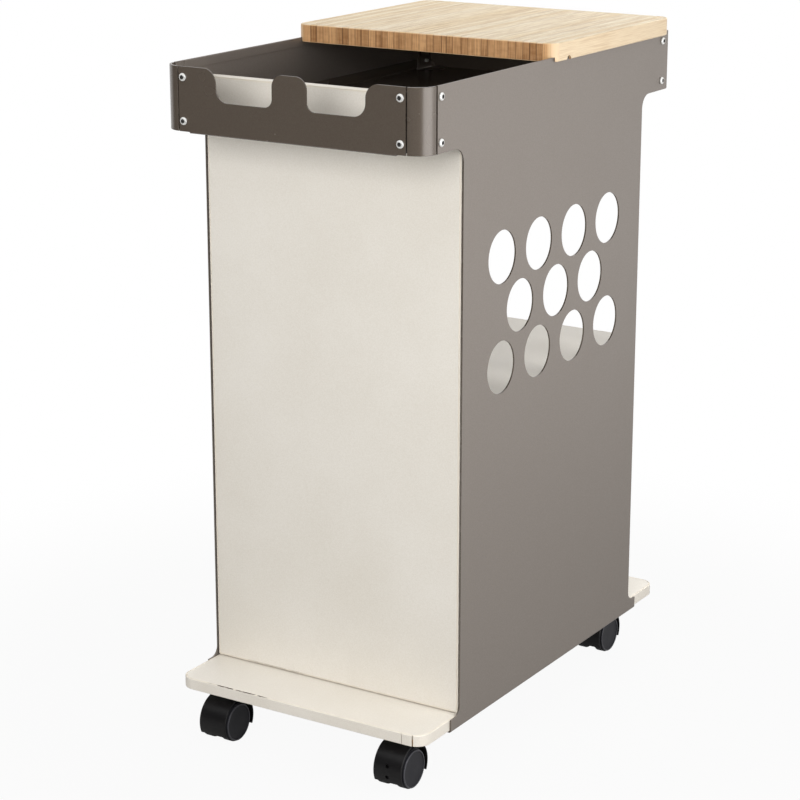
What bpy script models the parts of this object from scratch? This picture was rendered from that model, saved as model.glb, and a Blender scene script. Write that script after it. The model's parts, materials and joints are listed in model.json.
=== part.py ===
"""Rolling laptop cart with perforated steel sides, laminate boards, a tray with a bag hook and a sliding top.

Metres, +Z up. The origin is on the floor under the middle of the cart. The hook panel faces -Y and the right
side panel faces +X.
"""

import math

import bmesh
import bpy
from mathutils import Matrix, Vector

MM = 0.001

# Overall sizes
WIDTH = 304.8 * MM  # outer face to outer face of the side panels
DEPTH = 508.0 * MM  # hook panel's face to the side panels' rear edges
PANEL_HEIGHT = 660.0 * MM
CASTER_HEIGHT = 55.0 * MM  # floor to the side panels' lower edges

# Clearances
SEAT_GAP = 0.3 * MM  # between pieces that touch
RUNNING_GAP = 0.5 * MM  # between pieces that slide or turn past each other
SEAM = 0.6 * MM  # the line that shows between a corner bracket and its neighbours

# Sheets and boards
PANEL_SHEET = 1.6 * MM
TRAY_SHEET = 1.2 * MM
CLEAT_SHEET = 1.6 * MM
BOARD_THICKNESS = 12.0 * MM

# Side panel outline
BODY_FRONT_SETBACK = 70.0 * MM  # from the hook panel's face back to the front board
BODY_REAR_SETBACK = 59.0 * MM
TRAY_HEIGHT = 64.0 * MM
TRAY_FILLET = 15.0 * MM
TAB_REACH = 17.0 * MM
TAB_FILLET = 10.5 * MM
SHEET_CORNER = 1.5 * MM
FOOT_FLANGE = 20.0 * MM  # bent inwards under the base board

# Round holes in the side panels
HOLE_DIAMETER = 54.5 * MM
HOLE_PITCH = 75.5 * MM
HOLE_ROW_PITCH = 56.5 * MM
HOLE_TOP_ROW = 475.0 * MM  # above the panel's lower edge
HOLE_COLUMNS = 4  # a staggered row has one fewer
HOLE_ROWS = 3

# Boards
BASE_CORNER = 16.0 * MM
BASE_REAR_OVERHANG = 14.2 * MM  # past the rear of the tray
FRONT_BOARD_BELOW_TOP = 19.0 * MM  # its upper edge stays this far below the tray's
SHELF_TOP = 328.0 * MM  # above the panel's lower edge
CLEAT_LEG = 18.0 * MM
CLEAT_END_GAP = 12.0 * MM

# Hook panel
CORNER_RADIUS = 21.4 * MM  # outside of the corner brackets
SCOOP_DEPTH = 32.5 * MM
SCOOP_OUTER = 86.5 * MM  # from the middle to a scoop's outer wall
SCOOP_RADIUS = 14.0 * MM
TONGUE_HALF_WIDTH = 20.0 * MM
TONGUE_RADIUS = 12.0 * MM
TONGUE_ROOT = 9.0 * MM
RETURN_FLANGE = 12.0 * MM
RETURN_RELIEF = 12.0 * MM  # from the panel's ends to the return flange
RETURN_DROP = 1.5 * MM

# Corner brackets and rear rail
BRACKET_WALL = 2.4 * MM
LAP_LENGTH = 13.0 * MM
LAP_WALL = 2.0 * MM
LAP_LOWER_SETBACK = 2.0 * MM
RAIL_SIDE_FLANGE = 28.0 * MM
RAIL_FLOOR_FLANGE = 16.0 * MM
TRAY_LIP = 12.0 * MM

# Tray screws
SCREW_HEAD_DIAMETER = 8.0 * MM
SCREW_HEAD_HEIGHT = 2.3 * MM
SCREW_SHANK = 3.6 * MM
SCREW_LENGTH = 7.0 * MM
SCREW_EDGE = 10.4 * MM  # from the tray's upper and lower edges
SCREW_CORNER_EDGE = 5.5 * MM  # from the edge beside a corner bracket
SCREW_REAR_EDGE = 14.4 * MM

# Bamboo top
TOP_SIDE_OVERHANG = 3.6 * MM  # past each side panel
TOP_LENGTH = 265.0 * MM
TOP_THICKNESS = 19.0 * MM
TOP_CORNER = 6.0 * MM
TOP_EDGE_ROUND = 1.2 * MM
TOP_REAR_SETBACK = 2.0 * MM
GROOVE_DEPTH = 4.8 * MM
GROOVE_SIDE_GAP = 1.2 * MM
CROSS_GROOVE_WIDTH = 7.0 * MM
CROSS_GROOVE_SETBACK = 36.0 * MM  # from the front edge

# Casters
STEM_INSET_X = 43.4 * MM  # from the side panel's outer face
STEM_INSET_Y = 45.3 * MM  # from the base board's front and rear edges
TRAIL = 22.0 * MM  # from the stem forward to the axle
WHEEL_DIAMETER = 42.0 * MM
WHEEL_WIDTH = 11.2 * MM
WHEEL_RIM = 3.0 * MM
WHEEL_DISH = 1.2 * MM
WHEEL_EDGE = 2.0 * MM
WHEEL_CAP = 3.0 * MM  # wall that closes the outer end of the wheel's bore
CASTER_WIDTH = 37.0 * MM  # over both wheels
HOOD_WIDTH = 33.4 * MM
HOOD_WALL = 1.9 * MM
HOOD_SETBACK = 3.0 * MM  # from the axle back to the hood's own centre
HOOD_EDGE = 1.5 * MM
HOOD_FRONT_CLEARANCE = 10.0 * MM  # from the floor to the hood's lower front edge
HOOD_REAR_CLEARANCE = 9.6 * MM
AXLE_DIAMETER = 6.0 * MM
PIN_DIAMETER = 7.0 * MM
PIN_DEPTH = 26.0 * MM  # below the hood's boss top
BOSS_DIAMETER = 21.0 * MM
BOSS_HEIGHT = 11.0 * MM
PLATE_SIDE = 37.0 * MM
PLATE_THICKNESS = 2.5 * MM
PLATE_CORNER = 5.0 * MM
COLLAR_DIAMETER = 15.0 * MM
COLLAR_HEIGHT = 2.6 * MM

# Facets
ROUND_STEPS = 36
WHEEL_STEPS = 24
PIN_STEPS = 16
SCREW_STEPS = 10
CORNER_STEPS = 5
HOOD_STEPS = 22

# Places worked out from the sizes
HEAD_REACH = SEAT_GAP + SCREW_HEAD_HEIGHT  # the hook panel's screw heads stand this far in front of it
FRONT = (HEAD_REACH - DEPTH - BASE_REAR_OVERHANG) / 2
REAR = FRONT + DEPTH
BASE_REAR = REAR + BASE_REAR_OVERHANG
PANEL_BOTTOM = CASTER_HEIGHT
PANEL_TOP = PANEL_BOTTOM + PANEL_HEIGHT
TRAY_BOTTOM = PANEL_TOP - TRAY_HEIGHT
PANEL_OUTER = WIDTH / 2
PANEL_INNER = PANEL_OUTER - PANEL_SHEET
BOARD_HALF_WIDTH = PANEL_INNER - SEAT_GAP
BODY_FRONT = FRONT + BODY_FRONT_SETBACK
BODY_REAR = REAR - BODY_REAR_SETBACK
BODY_MIDDLE = (BODY_FRONT + BODY_REAR) / 2
BASE_BOTTOM = PANEL_BOTTOM + PANEL_SHEET + SEAT_GAP
BASE_TOP = BASE_BOTTOM + BOARD_THICKNESS
FRONT_BOARD_REAR = BODY_FRONT + BOARD_THICKNESS
FRONT_BOARD_TOP = PANEL_TOP - FRONT_BOARD_BELOW_TOP
SHELF_UPPER_FACE = PANEL_BOTTOM + SHELF_TOP
SHELF_LOWER_FACE = SHELF_UPPER_FACE - BOARD_THICKNESS
HOOK_HALF_WIDTH = PANEL_OUTER - CORNER_RADIUS - SEAM / 2
PANEL_FRONT_EDGE = FRONT + CORNER_RADIUS + SEAM / 2
TOP_WIDTH = WIDTH + 2 * TOP_SIDE_OVERHANG
TOP_LOWER_FACE = PANEL_TOP + SEAT_GAP - GROOVE_DEPTH
LAP_TOP = TOP_LOWER_FACE - RUNNING_GAP
LAP_BOTTOM = TRAY_BOTTOM + LAP_LOWER_SETBACK
SCREW_HEIGHTS = {"lower": TRAY_BOTTOM + SCREW_EDGE, "upper": PANEL_TOP - SCREW_EDGE}
SCREW_HOLE = SCREW_SHANK + 2 * SEAT_GAP
RAIL_FLANGE_FRONT = REAR - RAIL_SIDE_FLANGE
TRAY_FLOOR_BOTTOM = TRAY_BOTTOM + TRAY_SHEET + SEAT_GAP
TRAY_FLOOR_TOP = TRAY_FLOOR_BOTTOM + TRAY_SHEET
AXLE_HEIGHT = WHEEL_DIAMETER / 2
HOOD_INNER_RADIUS = WHEEL_DIAMETER / 2 + RUNNING_GAP + HOOD_SETBACK
HOOD_OUTER_RADIUS = HOOD_INNER_RADIUS + HOOD_WALL
WHEEL_INNER_FACE = CASTER_WIDTH / 2 - WHEEL_WIDTH
WEB_HALF_WIDTH = WHEEL_INNER_FACE - SEAT_GAP
PLATE_TOP = BASE_BOTTOM - SEAT_GAP
PLATE_BOTTOM = PLATE_TOP - PLATE_THICKNESS
BOSS_TOP = PLATE_BOTTOM - COLLAR_HEIGHT - SEAT_GAP
STEM_X = PANEL_OUTER - STEM_INSET_X
STEM_Y = {"front": FRONT + STEM_INSET_Y, "rear": BASE_REAR - STEM_INSET_Y}
SIDES = {"left": -1, "right": 1}


def clear_scene():
    """Remove whatever the scene starts with."""
    for obj in list(bpy.data.objects):
        bpy.data.objects.remove(obj, do_unlink=True)


def finish(name, hex_colour, roughness, metallic):
    """A Principled material from an sRGB hex colour."""
    channels = [int(hex_colour[i : i + 2], 16) / 255 for i in (1, 3, 5)]
    linear = [c / 12.92 if c <= 0.04045 else ((c + 0.055) / 1.055) ** 2.4 for c in channels]
    material = bpy.data.materials.new(name)
    material.use_nodes = True
    shader = material.node_tree.nodes["Principled BSDF"]
    shader.inputs["Base Color"].default_value = (*linear, 1)
    shader.inputs["Roughness"].default_value = roughness
    shader.inputs["Metallic"].default_value = metallic
    material.diffuse_color = (*linear, 1)
    return material


def rounded(corners, steps=CORNER_STEPS):
    """Outline points from (u, v, radius) corners, each replaced by an arc of its radius."""
    points = []
    for index, (u, v, radius) in enumerate(corners):
        here = Vector((u, v))
        if radius <= 0:
            points.append(here)
            continue
        before = (Vector(corners[index - 1][:2]) - here).normalized()
        after = (Vector(corners[(index + 1) % len(corners)][:2]) - here).normalized()
        half_angle = before.angle(after) / 2
        start = here + before * radius / math.tan(half_angle)
        centre = here + (before + after).normalized() * radius / math.sin(half_angle)
        spoke = start - centre
        turn = math.copysign(math.pi - 2 * half_angle, before.cross(after) * -1)
        for step in range(steps + 1):
            angle = turn * step / steps
            points.append(centre + Matrix.Rotation(angle, 2) @ spoke)
    return points


def box_corners(u0, v0, u1, v1, radius=0.0):
    """The four corners of a rectangle, for rounded."""
    return [(u0, v0, radius), (u1, v0, radius), (u1, v1, radius), (u0, v1, radius)]


def along_axis(axis, u, v, w):
    """The point with w along the named axis and u, v along the other two, in XYZ order."""
    return {"X": (w, u, v), "Y": (u, w, v), "Z": (u, v, w)}[axis]


def prism(outline, axis, start, end):
    """A bmesh of an outline drawn across an axis and extruded along it from start to end."""
    mesh = bmesh.new()
    base = mesh.faces.new([mesh.verts.new(along_axis(axis, u, v, start)) for u, v in outline])
    top = bmesh.ops.extrude_face_region(mesh, geom=[base])["geom"]
    move = Vector(along_axis(axis, 0, 0, end - start))
    bmesh.ops.translate(mesh, verts=[v for v in top if isinstance(v, bmesh.types.BMVert)], vec=move)
    bmesh.ops.recalc_face_normals(mesh, faces=mesh.faces)
    return mesh


def circle(u, v, diameter, steps):
    """Points of a circle."""
    turns = [2 * math.pi * (step + 0.5) / steps for step in range(steps)]
    return [(u + diameter / 2 * math.cos(a), v + diameter / 2 * math.sin(a)) for a in turns]


def rod(axis, u, v, diameter, start, end, steps=PIN_STEPS):
    """A bmesh of a round bar along an axis."""
    return prism(circle(u, v, diameter, steps), axis, start, end)


def box(low, high):
    """A bmesh of a box between two corners."""
    outline = rounded(box_corners(low[0], low[1], high[0], high[1]))
    return prism(outline, "Z", low[2], high[2])


def turned(profile, steps, angle=2 * math.pi, start_angle=0.0):
    """A bmesh of a closed (radius, x) profile turned about the X axis, starting from +Y towards +Z."""
    mesh = bmesh.new()
    verts = [mesh.verts.new((x, radius, 0)) for radius, x in profile]
    edges = [mesh.edges.new((verts[i - 1], verts[i])) for i in range(len(verts))]
    closed = angle >= 2 * math.pi - 1e-6
    spin = Matrix.Rotation(start_angle, 3, "X")
    bmesh.ops.rotate(mesh, verts=verts, matrix=spin, cent=(0, 0, 0))
    if not closed:
        mesh.faces.new(verts)
    made = bmesh.ops.spin(
        mesh, geom=verts + edges, axis=(1, 0, 0), cent=(0, 0, 0), angle=angle, steps=steps, use_merge=closed
    )
    if not closed:
        mesh.faces.new([v for v in made["geom_last"] if isinstance(v, bmesh.types.BMVert)])
    bmesh.ops.remove_doubles(mesh, verts=mesh.verts, dist=1e-6)
    bmesh.ops.recalc_face_normals(mesh, faces=mesh.faces)
    return mesh


def as_mesh(name, form):
    """Turn a bmesh into a mesh, smooth on its round faces."""
    mesh = bpy.data.meshes.new(name)
    form.to_mesh(mesh)
    form.free()
    mesh.shade_smooth()
    mesh.set_sharp_from_angle(angle=math.radians(35))
    return mesh


def combined(name, base, joined=(), cut=()):
    """A mesh of a bmesh with other bmeshes joined to it and then cut from it."""
    target = bpy.data.objects.new(name, as_mesh(name, base))
    bpy.context.scene.collection.objects.link(target)
    for operation, forms in (("UNION", joined), ("DIFFERENCE", cut)):
        for form in forms:
            tool = bpy.data.objects.new(name + "_tool", as_mesh(name + "_tool", form))
            tool.hide_render = True
            tool.display_type = "WIRE"
            bpy.context.scene.collection.objects.link(tool)
            boolean = target.modifiers.new(operation.title(), "BOOLEAN")
            boolean.operation = operation
            boolean.object = tool
    graph = bpy.context.evaluated_depsgraph_get()
    mesh = bpy.data.meshes.new_from_object(target.evaluated_get(graph))
    mesh.name = name
    for boolean in target.modifiers:
        bpy.data.objects.remove(boolean.object, do_unlink=True)
    bpy.data.objects.remove(target, do_unlink=True)
    mesh.shade_smooth()
    mesh.set_sharp_from_angle(angle=math.radians(35))
    return mesh


def merged(forms):
    """One bmesh of several that lie apart."""
    whole = forms[0]
    for form in forms[1:]:
        part = bpy.data.meshes.new("part")
        form.to_mesh(part)
        form.free()
        whole.from_mesh(part)
        bpy.data.meshes.remove(part)
    return whole


def place(name, mesh, material, location=(0, 0, 0), parent=None):
    """Add a named object for a mesh."""
    obj = bpy.data.objects.new(name, mesh)
    bpy.context.scene.collection.objects.link(obj)
    obj.parent = parent
    obj.location = location
    if not mesh.materials:
        mesh.materials.append(material)
    return obj


def hole_centres():
    """Centres of the round holes in a side panel, as (y, z), in staggered rows."""
    for row in range(HOLE_ROWS):
        columns = HOLE_COLUMNS - row % 2
        for column in range(columns):
            y = BODY_MIDDLE + (column - (columns - 1) / 2) * HOLE_PITCH
            yield y, PANEL_BOTTOM + HOLE_TOP_ROW - row * HOLE_ROW_PITCH


def side_screw_spots():
    """Places of the screws in a side panel, as {name: (y, z)}."""
    rows = {"front": PANEL_FRONT_EDGE + SCREW_CORNER_EDGE, "rear": REAR - SCREW_REAR_EDGE}
    return {f"{end}_{level}": (y, z) for end, y in rows.items() for level, z in SCREW_HEIGHTS.items()}


def front_screw_spots():
    """Places of the screws in the hook panel, as {name: (x, z)}."""
    reach = HOOK_HALF_WIDTH - SCREW_CORNER_EDGE
    return {
        f"{side}_{level}": (sign * reach, z) for side, sign in SIDES.items() for level, z in SCREW_HEIGHTS.items()
    }


def side_panel(name, sign, steel):
    """Bent sheet: a wide band at the tray, a perforated body, tabs at the base and a flange under the base board."""
    tab_front = BODY_FRONT - TAB_REACH
    tab_rear = BODY_REAR + TAB_REACH
    outline = rounded(
        [
            (tab_front, PANEL_BOTTOM, 0),
            (tab_rear, PANEL_BOTTOM, 0),
            (tab_rear, BASE_TOP, SHEET_CORNER),
            (BODY_REAR, BASE_TOP, TAB_FILLET),
            (BODY_REAR, TRAY_BOTTOM, TRAY_FILLET),
            (REAR, TRAY_BOTTOM, SHEET_CORNER),
            (REAR, PANEL_TOP, SHEET_CORNER),
            (PANEL_FRONT_EDGE, PANEL_TOP, 0),
            (PANEL_FRONT_EDGE, TRAY_BOTTOM, 0),
            (BODY_FRONT, TRAY_BOTTOM, TRAY_FILLET),
            (BODY_FRONT, BASE_TOP, TAB_FILLET),
            (tab_front, BASE_TOP, SHEET_CORNER),
        ]
    )
    sheet = prism(outline, "X", sign * PANEL_INNER, sign * PANEL_OUTER)
    foot = box_between(sign, PANEL_OUTER - FOOT_FLANGE, PANEL_OUTER, tab_front, tab_rear, PANEL_BOTTOM, PANEL_SHEET)
    reach = (sign * (PANEL_INNER - PANEL_SHEET), sign * (PANEL_OUTER + PANEL_SHEET))
    holes = [rod("X", y, z, HOLE_DIAMETER, *reach, ROUND_STEPS) for y, z in hole_centres()]
    holes += [rod("X", y, z, SCREW_HOLE, *reach, SCREW_STEPS) for y, z in side_screw_spots().values()]
    place(name, combined(name, sheet, [foot], [merged(holes)]), steel)


def box_between(sign, inner, outer, y0, y1, bottom, height):
    """A box on one side of the cart, from its inner to its outer distance from the middle."""
    low_x, high_x = sorted((sign * inner, sign * outer))
    return box((low_x, y0, bottom), (high_x, y1, bottom + height))


def base_board(laminate):
    """Board that carries the casters, with round corners in plan."""
    outline = rounded(box_corners(-BOARD_HALF_WIDTH, FRONT, BOARD_HALF_WIDTH, BASE_REAR, BASE_CORNER))
    place("base_board", as_mesh("base_board", prism(outline, "Z", BASE_BOTTOM, BASE_TOP)), laminate)


def front_board(laminate):
    """Upright board behind the hook panel, from the base up into the tray."""
    low = (-BOARD_HALF_WIDTH, BODY_FRONT, BASE_TOP + SEAT_GAP)
    high = (BOARD_HALF_WIDTH, FRONT_BOARD_REAR, FRONT_BOARD_TOP)
    place("front_board", as_mesh("front_board", box(low, high)), laminate)


def shelf(laminate):
    """Board across the middle, open at the rear."""
    low = (-BOARD_HALF_WIDTH, FRONT_BOARD_REAR + SEAT_GAP, SHELF_LOWER_FACE)
    high = (BOARD_HALF_WIDTH, BODY_REAR, SHELF_UPPER_FACE)
    place("shelf", as_mesh("shelf", box(low, high)), laminate)


def angle_outline(corner_u, corner_v, leg_u, leg_v):
    """Outline of an angle section whose outer corner is given and whose legs run the signed lengths from it."""
    wall_u = math.copysign(CLEAT_SHEET, leg_u)
    wall_v = math.copysign(CLEAT_SHEET, leg_v)
    return [
        (corner_u, corner_v),
        (corner_u + leg_u, corner_v),
        (corner_u + leg_u, corner_v + wall_v),
        (corner_u + wall_u, corner_v + wall_v),
        (corner_u + wall_u, corner_v + leg_v),
        (corner_u, corner_v + leg_v),
    ]


def shelf_rail(name, sign, steel):
    """Angle under one end of the shelf, fixed to the side panel."""
    outline = angle_outline(sign * BOARD_HALF_WIDTH, SHELF_LOWER_FACE - SEAT_GAP, -sign * CLEAT_LEG, -CLEAT_LEG)
    start = FRONT_BOARD_REAR + CLEAT_LEG + CLEAT_END_GAP
    place(name, as_mesh(name, prism(outline, "Y", start, BODY_REAR - CLEAT_END_GAP)), steel)


def front_cleat(name, sign, bottom, top, steel):
    """Upright angle in the corner of the front board and a side panel."""
    corner_y = FRONT_BOARD_REAR + SEAT_GAP
    outline = angle_outline(sign * BOARD_HALF_WIDTH, corner_y, -sign * CLEAT_LEG, CLEAT_LEG)
    place(name, as_mesh(name, prism(outline, "Z", bottom, top)), steel)


def hook_panel(steel):
    """Tray front: two scoops leave a centre tongue for a bag strap, and the lower edge is bent back."""
    floor = PANEL_TOP - SCOOP_DEPTH
    right = [
        (TONGUE_HALF_WIDTH, PANEL_TOP, TONGUE_RADIUS),
        (TONGUE_HALF_WIDTH, floor, TONGUE_ROOT),
        (SCOOP_OUTER, floor, SCOOP_RADIUS),
        (SCOOP_OUTER, PANEL_TOP, SCOOP_RADIUS),
        (HOOK_HALF_WIDTH, PANEL_TOP, 0),
        (HOOK_HALF_WIDTH, TRAY_BOTTOM, 0),
    ]
    left = [(-x, z, radius) for x, z, radius in reversed(right)]
    sheet = prism(rounded(right + left), "Y", FRONT, FRONT + PANEL_SHEET)
    flange_half_width = HOOK_HALF_WIDTH - RETURN_RELIEF
    low = (-flange_half_width, FRONT, TRAY_BOTTOM - RETURN_DROP)
    high = (flange_half_width, FRONT + RETURN_FLANGE, TRAY_BOTTOM - RETURN_DROP + PANEL_SHEET)
    reach = (FRONT - PANEL_SHEET, FRONT + 2 * PANEL_SHEET)
    holes = [rod("Y", x, z, SCREW_HOLE, *reach, SCREW_STEPS) for x, z in front_screw_spots().values()]
    place("hook_panel", combined("hook_panel", sheet, [box(low, high)], [merged(holes)]), steel)


def corner_bracket(name, sign, steel):
    """Quarter-round corner with laps behind the hook panel and the side panel, which the screws go into."""
    centre_x = sign * (PANEL_OUTER - CORNER_RADIUS)
    centre_y = FRONT + CORNER_RADIUS
    seam = SEAM / 2
    quarter = [math.pi / 2 * step / (2 * CORNER_STEPS) for step in range(2 * CORNER_STEPS + 1)]
    inner_radius = CORNER_RADIUS - BRACKET_WALL
    inner_seam = -(PANEL_SHEET + SEAT_GAP)
    arc = [(sign * CORNER_RADIUS * math.sin(a), -CORNER_RADIUS * math.cos(a)) for a in quarter]
    back = [(sign * inner_radius * math.sin(a), -inner_radius * math.cos(a)) for a in reversed(quarter)]
    outline = [(centre_x + u, centre_y + v) for u, v in arc + back]
    wall = prism(outline, "Z", TRAY_BOTTOM, PANEL_TOP)
    lap_face = CORNER_RADIUS + inner_seam
    lap_back = lap_face - LAP_WALL
    reach = LAP_LENGTH + seam
    front_low = (centre_x - sign * reach, centre_y - lap_face)
    front_high = (centre_x + sign * LAP_WALL, centre_y - lap_back)
    side_low = (centre_x + sign * lap_back, centre_y - LAP_WALL)
    side_high = (centre_x + sign * lap_face, centre_y + reach)
    laps = []
    for low, high in ((front_low, front_high), (side_low, side_high)):
        x0, x1 = sorted((low[0], high[0]))
        laps.append(box((x0, low[1], LAP_BOTTOM), (x1, high[1], LAP_TOP)))
    holes = []
    for x, z in front_screw_spots().values():
        if x * sign > 0:
            holes.append(rod("Y", x, z, SCREW_HOLE, FRONT, FRONT + CORNER_RADIUS, SCREW_STEPS))
    for spot, (y, z) in side_screw_spots().items():
        if spot.startswith("front"):
            ends = (sign * (PANEL_OUTER - CORNER_RADIUS), sign * PANEL_OUTER)
            holes.append(rod("X", y, z, SCREW_HOLE, *ends, SCREW_STEPS))
    place(name, combined(name, wall, laps, [merged(holes)]), steel)


def rear_rail(steel):
    """Folded rail behind the tray: a web, two flanges inside the side panels and a ledge for the tray floor."""
    half = BOARD_HALF_WIDTH
    outline = [
        (-half, REAR),
        (-half, RAIL_FLANGE_FRONT),
        (-half + TRAY_SHEET, RAIL_FLANGE_FRONT),
        (-half + TRAY_SHEET, REAR - TRAY_SHEET),
        (half - TRAY_SHEET, REAR - TRAY_SHEET),
        (half - TRAY_SHEET, RAIL_FLANGE_FRONT),
        (half, RAIL_FLANGE_FRONT),
        (half, REAR),
    ]
    web = prism(outline, "Z", TRAY_BOTTOM, LAP_TOP)
    ledge = box((-half, REAR - RAIL_FLOOR_FLANGE, TRAY_BOTTOM), (half, REAR, TRAY_BOTTOM + TRAY_SHEET))
    reach = (-WIDTH / 2, WIDTH / 2)
    spots = [spot for name, spot in side_screw_spots().items() if name.startswith("rear")]
    holes = [rod("X", y, z, SCREW_HOLE, *reach, SCREW_STEPS) for y, z in spots]
    place("rear_rail", combined("rear_rail", web, [ledge], [merged(holes)]), steel)


def tray_floor(steel):
    """Pan with lips against the front board and the side panels, its rear edge on the rail's ledge."""
    front = FRONT_BOARD_REAR + SEAT_GAP
    step = RAIL_FLANGE_FRONT - SEAT_GAP
    rear = REAR - TRAY_SHEET - SEAT_GAP
    half = BOARD_HALF_WIDTH
    narrow = half - TRAY_SHEET - SEAT_GAP
    outline = [(-half, front), (half, front), (half, step), (narrow, step), (narrow, rear), (-narrow, rear)]
    outline += [(-narrow, step), (-half, step)]
    sheet = prism(outline, "Z", TRAY_FLOOR_BOTTOM, TRAY_FLOOR_TOP)
    lip_outline = [
        (-half, front),
        (half, front),
        (half, step),
        (half - TRAY_SHEET, step),
        (half - TRAY_SHEET, front + TRAY_SHEET),
        (-half + TRAY_SHEET, front + TRAY_SHEET),
        (-half + TRAY_SHEET, step),
        (-half, step),
    ]
    lips = prism(lip_outline, "Z", TRAY_FLOOR_BOTTOM, TRAY_FLOOR_BOTTOM + TRAY_LIP)
    place("tray_floor", combined("tray_floor", sheet, [lips]), steel)


def screw_mesh():
    """Round-headed screw along X, its head's underside at the origin and its shank towards -X."""
    head = SCREW_HEAD_DIAMETER / 2
    shank = SCREW_SHANK / 2
    profile = [
        (0, SCREW_HEAD_HEIGHT),
        (0.55 * head, 0.93 * SCREW_HEAD_HEIGHT),
        (0.86 * head, 0.62 * SCREW_HEAD_HEIGHT),
        (head, 0.2 * SCREW_HEAD_HEIGHT),
        (head, 0),
        (shank, 0),
        (shank, -SCREW_LENGTH),
        (0, -SCREW_LENGTH),
    ]
    return as_mesh("tray_screw", turned(profile, SCREW_STEPS))


def tray_screws(zinc):
    """Twelve screws that hold the tray's corners and rear rail."""
    mesh = screw_mesh()
    for side, sign in SIDES.items():
        for spot, (y, z) in side_screw_spots().items():
            screw = place(f"tray_screw_{side}_{spot}", mesh, zinc, (sign * (PANEL_OUTER + SEAT_GAP), y, z))
            screw.rotation_euler.z = 0 if sign > 0 else math.pi
    for spot, (x, z) in front_screw_spots().items():
        screw = place(f"hook_screw_{spot}", mesh, zinc, (x, FRONT - SEAT_GAP, z))
        screw.rotation_euler.z = -math.pi / 2


def bamboo_top(bamboo):
    """Board that slides fore and aft, with grooves underneath that ride on the side panels' upper edges."""
    rear = REAR - TOP_REAR_SETBACK
    front = rear - TOP_LENGTH
    half = TOP_WIDTH / 2
    board = prism(
        rounded(box_corners(-half, front, half, rear, TOP_CORNER)), "Z", TOP_LOWER_FACE, TOP_LOWER_FACE + TOP_THICKNESS
    )
    rims = [edge for edge in board.edges if abs(edge.verts[0].co.z - edge.verts[1].co.z) < 1e-7]
    bmesh.ops.bevel(board, geom=rims, offset=TOP_EDGE_ROUND, segments=2, profile=0.5, affect="EDGES")
    grooves = []
    for sign in SIDES.values():
        inner = PANEL_INNER - GROOVE_SIDE_GAP
        outer = PANEL_OUTER + GROOVE_SIDE_GAP
        bottom = TOP_LOWER_FACE - TOP_THICKNESS
        height = TOP_THICKNESS + GROOVE_DEPTH
        grooves.append(box_between(sign, inner, outer, front - TOP_CORNER, rear + TOP_CORNER, bottom, height))
    cross_y = front + CROSS_GROOVE_SETBACK
    cross = rod("X", cross_y, TOP_LOWER_FACE, CROSS_GROOVE_WIDTH, -TOP_WIDTH, TOP_WIDTH)
    origin = Vector((0, (front + rear) / 2, TOP_LOWER_FACE))
    mesh = combined("bamboo_top", board, [], [merged(grooves), cross])
    mesh.transform(Matrix.Translation(-origin))
    place("bamboo_top", mesh, bamboo, origin)


def hood_mesh():
    """Caster body about its stem: a hood over both wheels, the web between them and the boss round the pin."""
    centre_y = HOOD_SETBACK - TRAIL
    front_drop = math.asin((AXLE_HEIGHT - HOOD_FRONT_CLEARANCE) / HOOD_OUTER_RADIUS)
    rear_drop = math.asin((AXLE_HEIGHT - HOOD_REAR_CLEARANCE) / HOOD_OUTER_RADIUS)
    sweep = rear_drop + math.pi + front_drop
    half = HOOD_WIDTH / 2
    outer, inner = HOOD_OUTER_RADIUS, HOOD_INNER_RADIUS
    profile = [
        (inner, -half),
        (outer - HOOD_EDGE, -half),
        (outer - 0.3 * HOOD_EDGE, -half + 0.3 * HOOD_EDGE),
        (outer, -half + HOOD_EDGE),
        (outer, half - HOOD_EDGE),
        (outer - 0.3 * HOOD_EDGE, half - 0.3 * HOOD_EDGE),
        (outer - HOOD_EDGE, half),
        (inner, half),
    ]
    shell = turned(profile, HOOD_STEPS, angle=sweep)
    shell.transform(Matrix.Translation((0, centre_y, AXLE_HEIGHT)) @ Matrix.Rotation(-rear_drop, 4, "X"))
    web_radius = (inner + outer) / 2
    arc = [sweep * step / HOOD_STEPS - rear_drop for step in range(HOOD_STEPS + 1)]
    outline = [(centre_y + web_radius * math.cos(a), AXLE_HEIGHT + web_radius * math.sin(a)) for a in arc]
    web = prism(outline, "X", -WEB_HALF_WIDTH, WEB_HALF_WIDTH)
    sleeve = rod("Z", 0, 0, 2 * WEB_HALF_WIDTH, AXLE_HEIGHT, BOSS_TOP - BOSS_HEIGHT / 2, PIN_STEPS)
    boss = rod("Z", 0, 0, BOSS_DIAMETER, BOSS_TOP - BOSS_HEIGHT, BOSS_TOP, ROUND_STEPS // 2)
    pin_hole = rod("Z", 0, 0, PIN_DIAMETER + 2 * SEAT_GAP, BOSS_TOP - PIN_DEPTH, BOSS_TOP + COLLAR_HEIGHT)
    axle_hole = rod("X", -TRAIL, AXLE_HEIGHT, AXLE_DIAMETER + 2 * SEAT_GAP, -CASTER_WIDTH, CASTER_WIDTH)
    return combined("caster_hood", web, [shell, sleeve, boss], [pin_hole, axle_hole])


def plate_mesh():
    """Mounting plate under the base board with the collar and pin that the hood swivels on."""
    half = PLATE_SIDE / 2
    plate = prism(rounded(box_corners(-half, -half, half, half, PLATE_CORNER)), "Z", PLATE_BOTTOM, PLATE_TOP)
    collar = rod("Z", 0, 0, COLLAR_DIAMETER, PLATE_BOTTOM - COLLAR_HEIGHT, PLATE_BOTTOM + PLATE_THICKNESS / 2)
    pin = rod("Z", 0, 0, PIN_DIAMETER, BOSS_TOP - PIN_DEPTH + SEAT_GAP, PLATE_BOTTOM)
    return combined("caster_plate", plate, [collar, pin])


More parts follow.
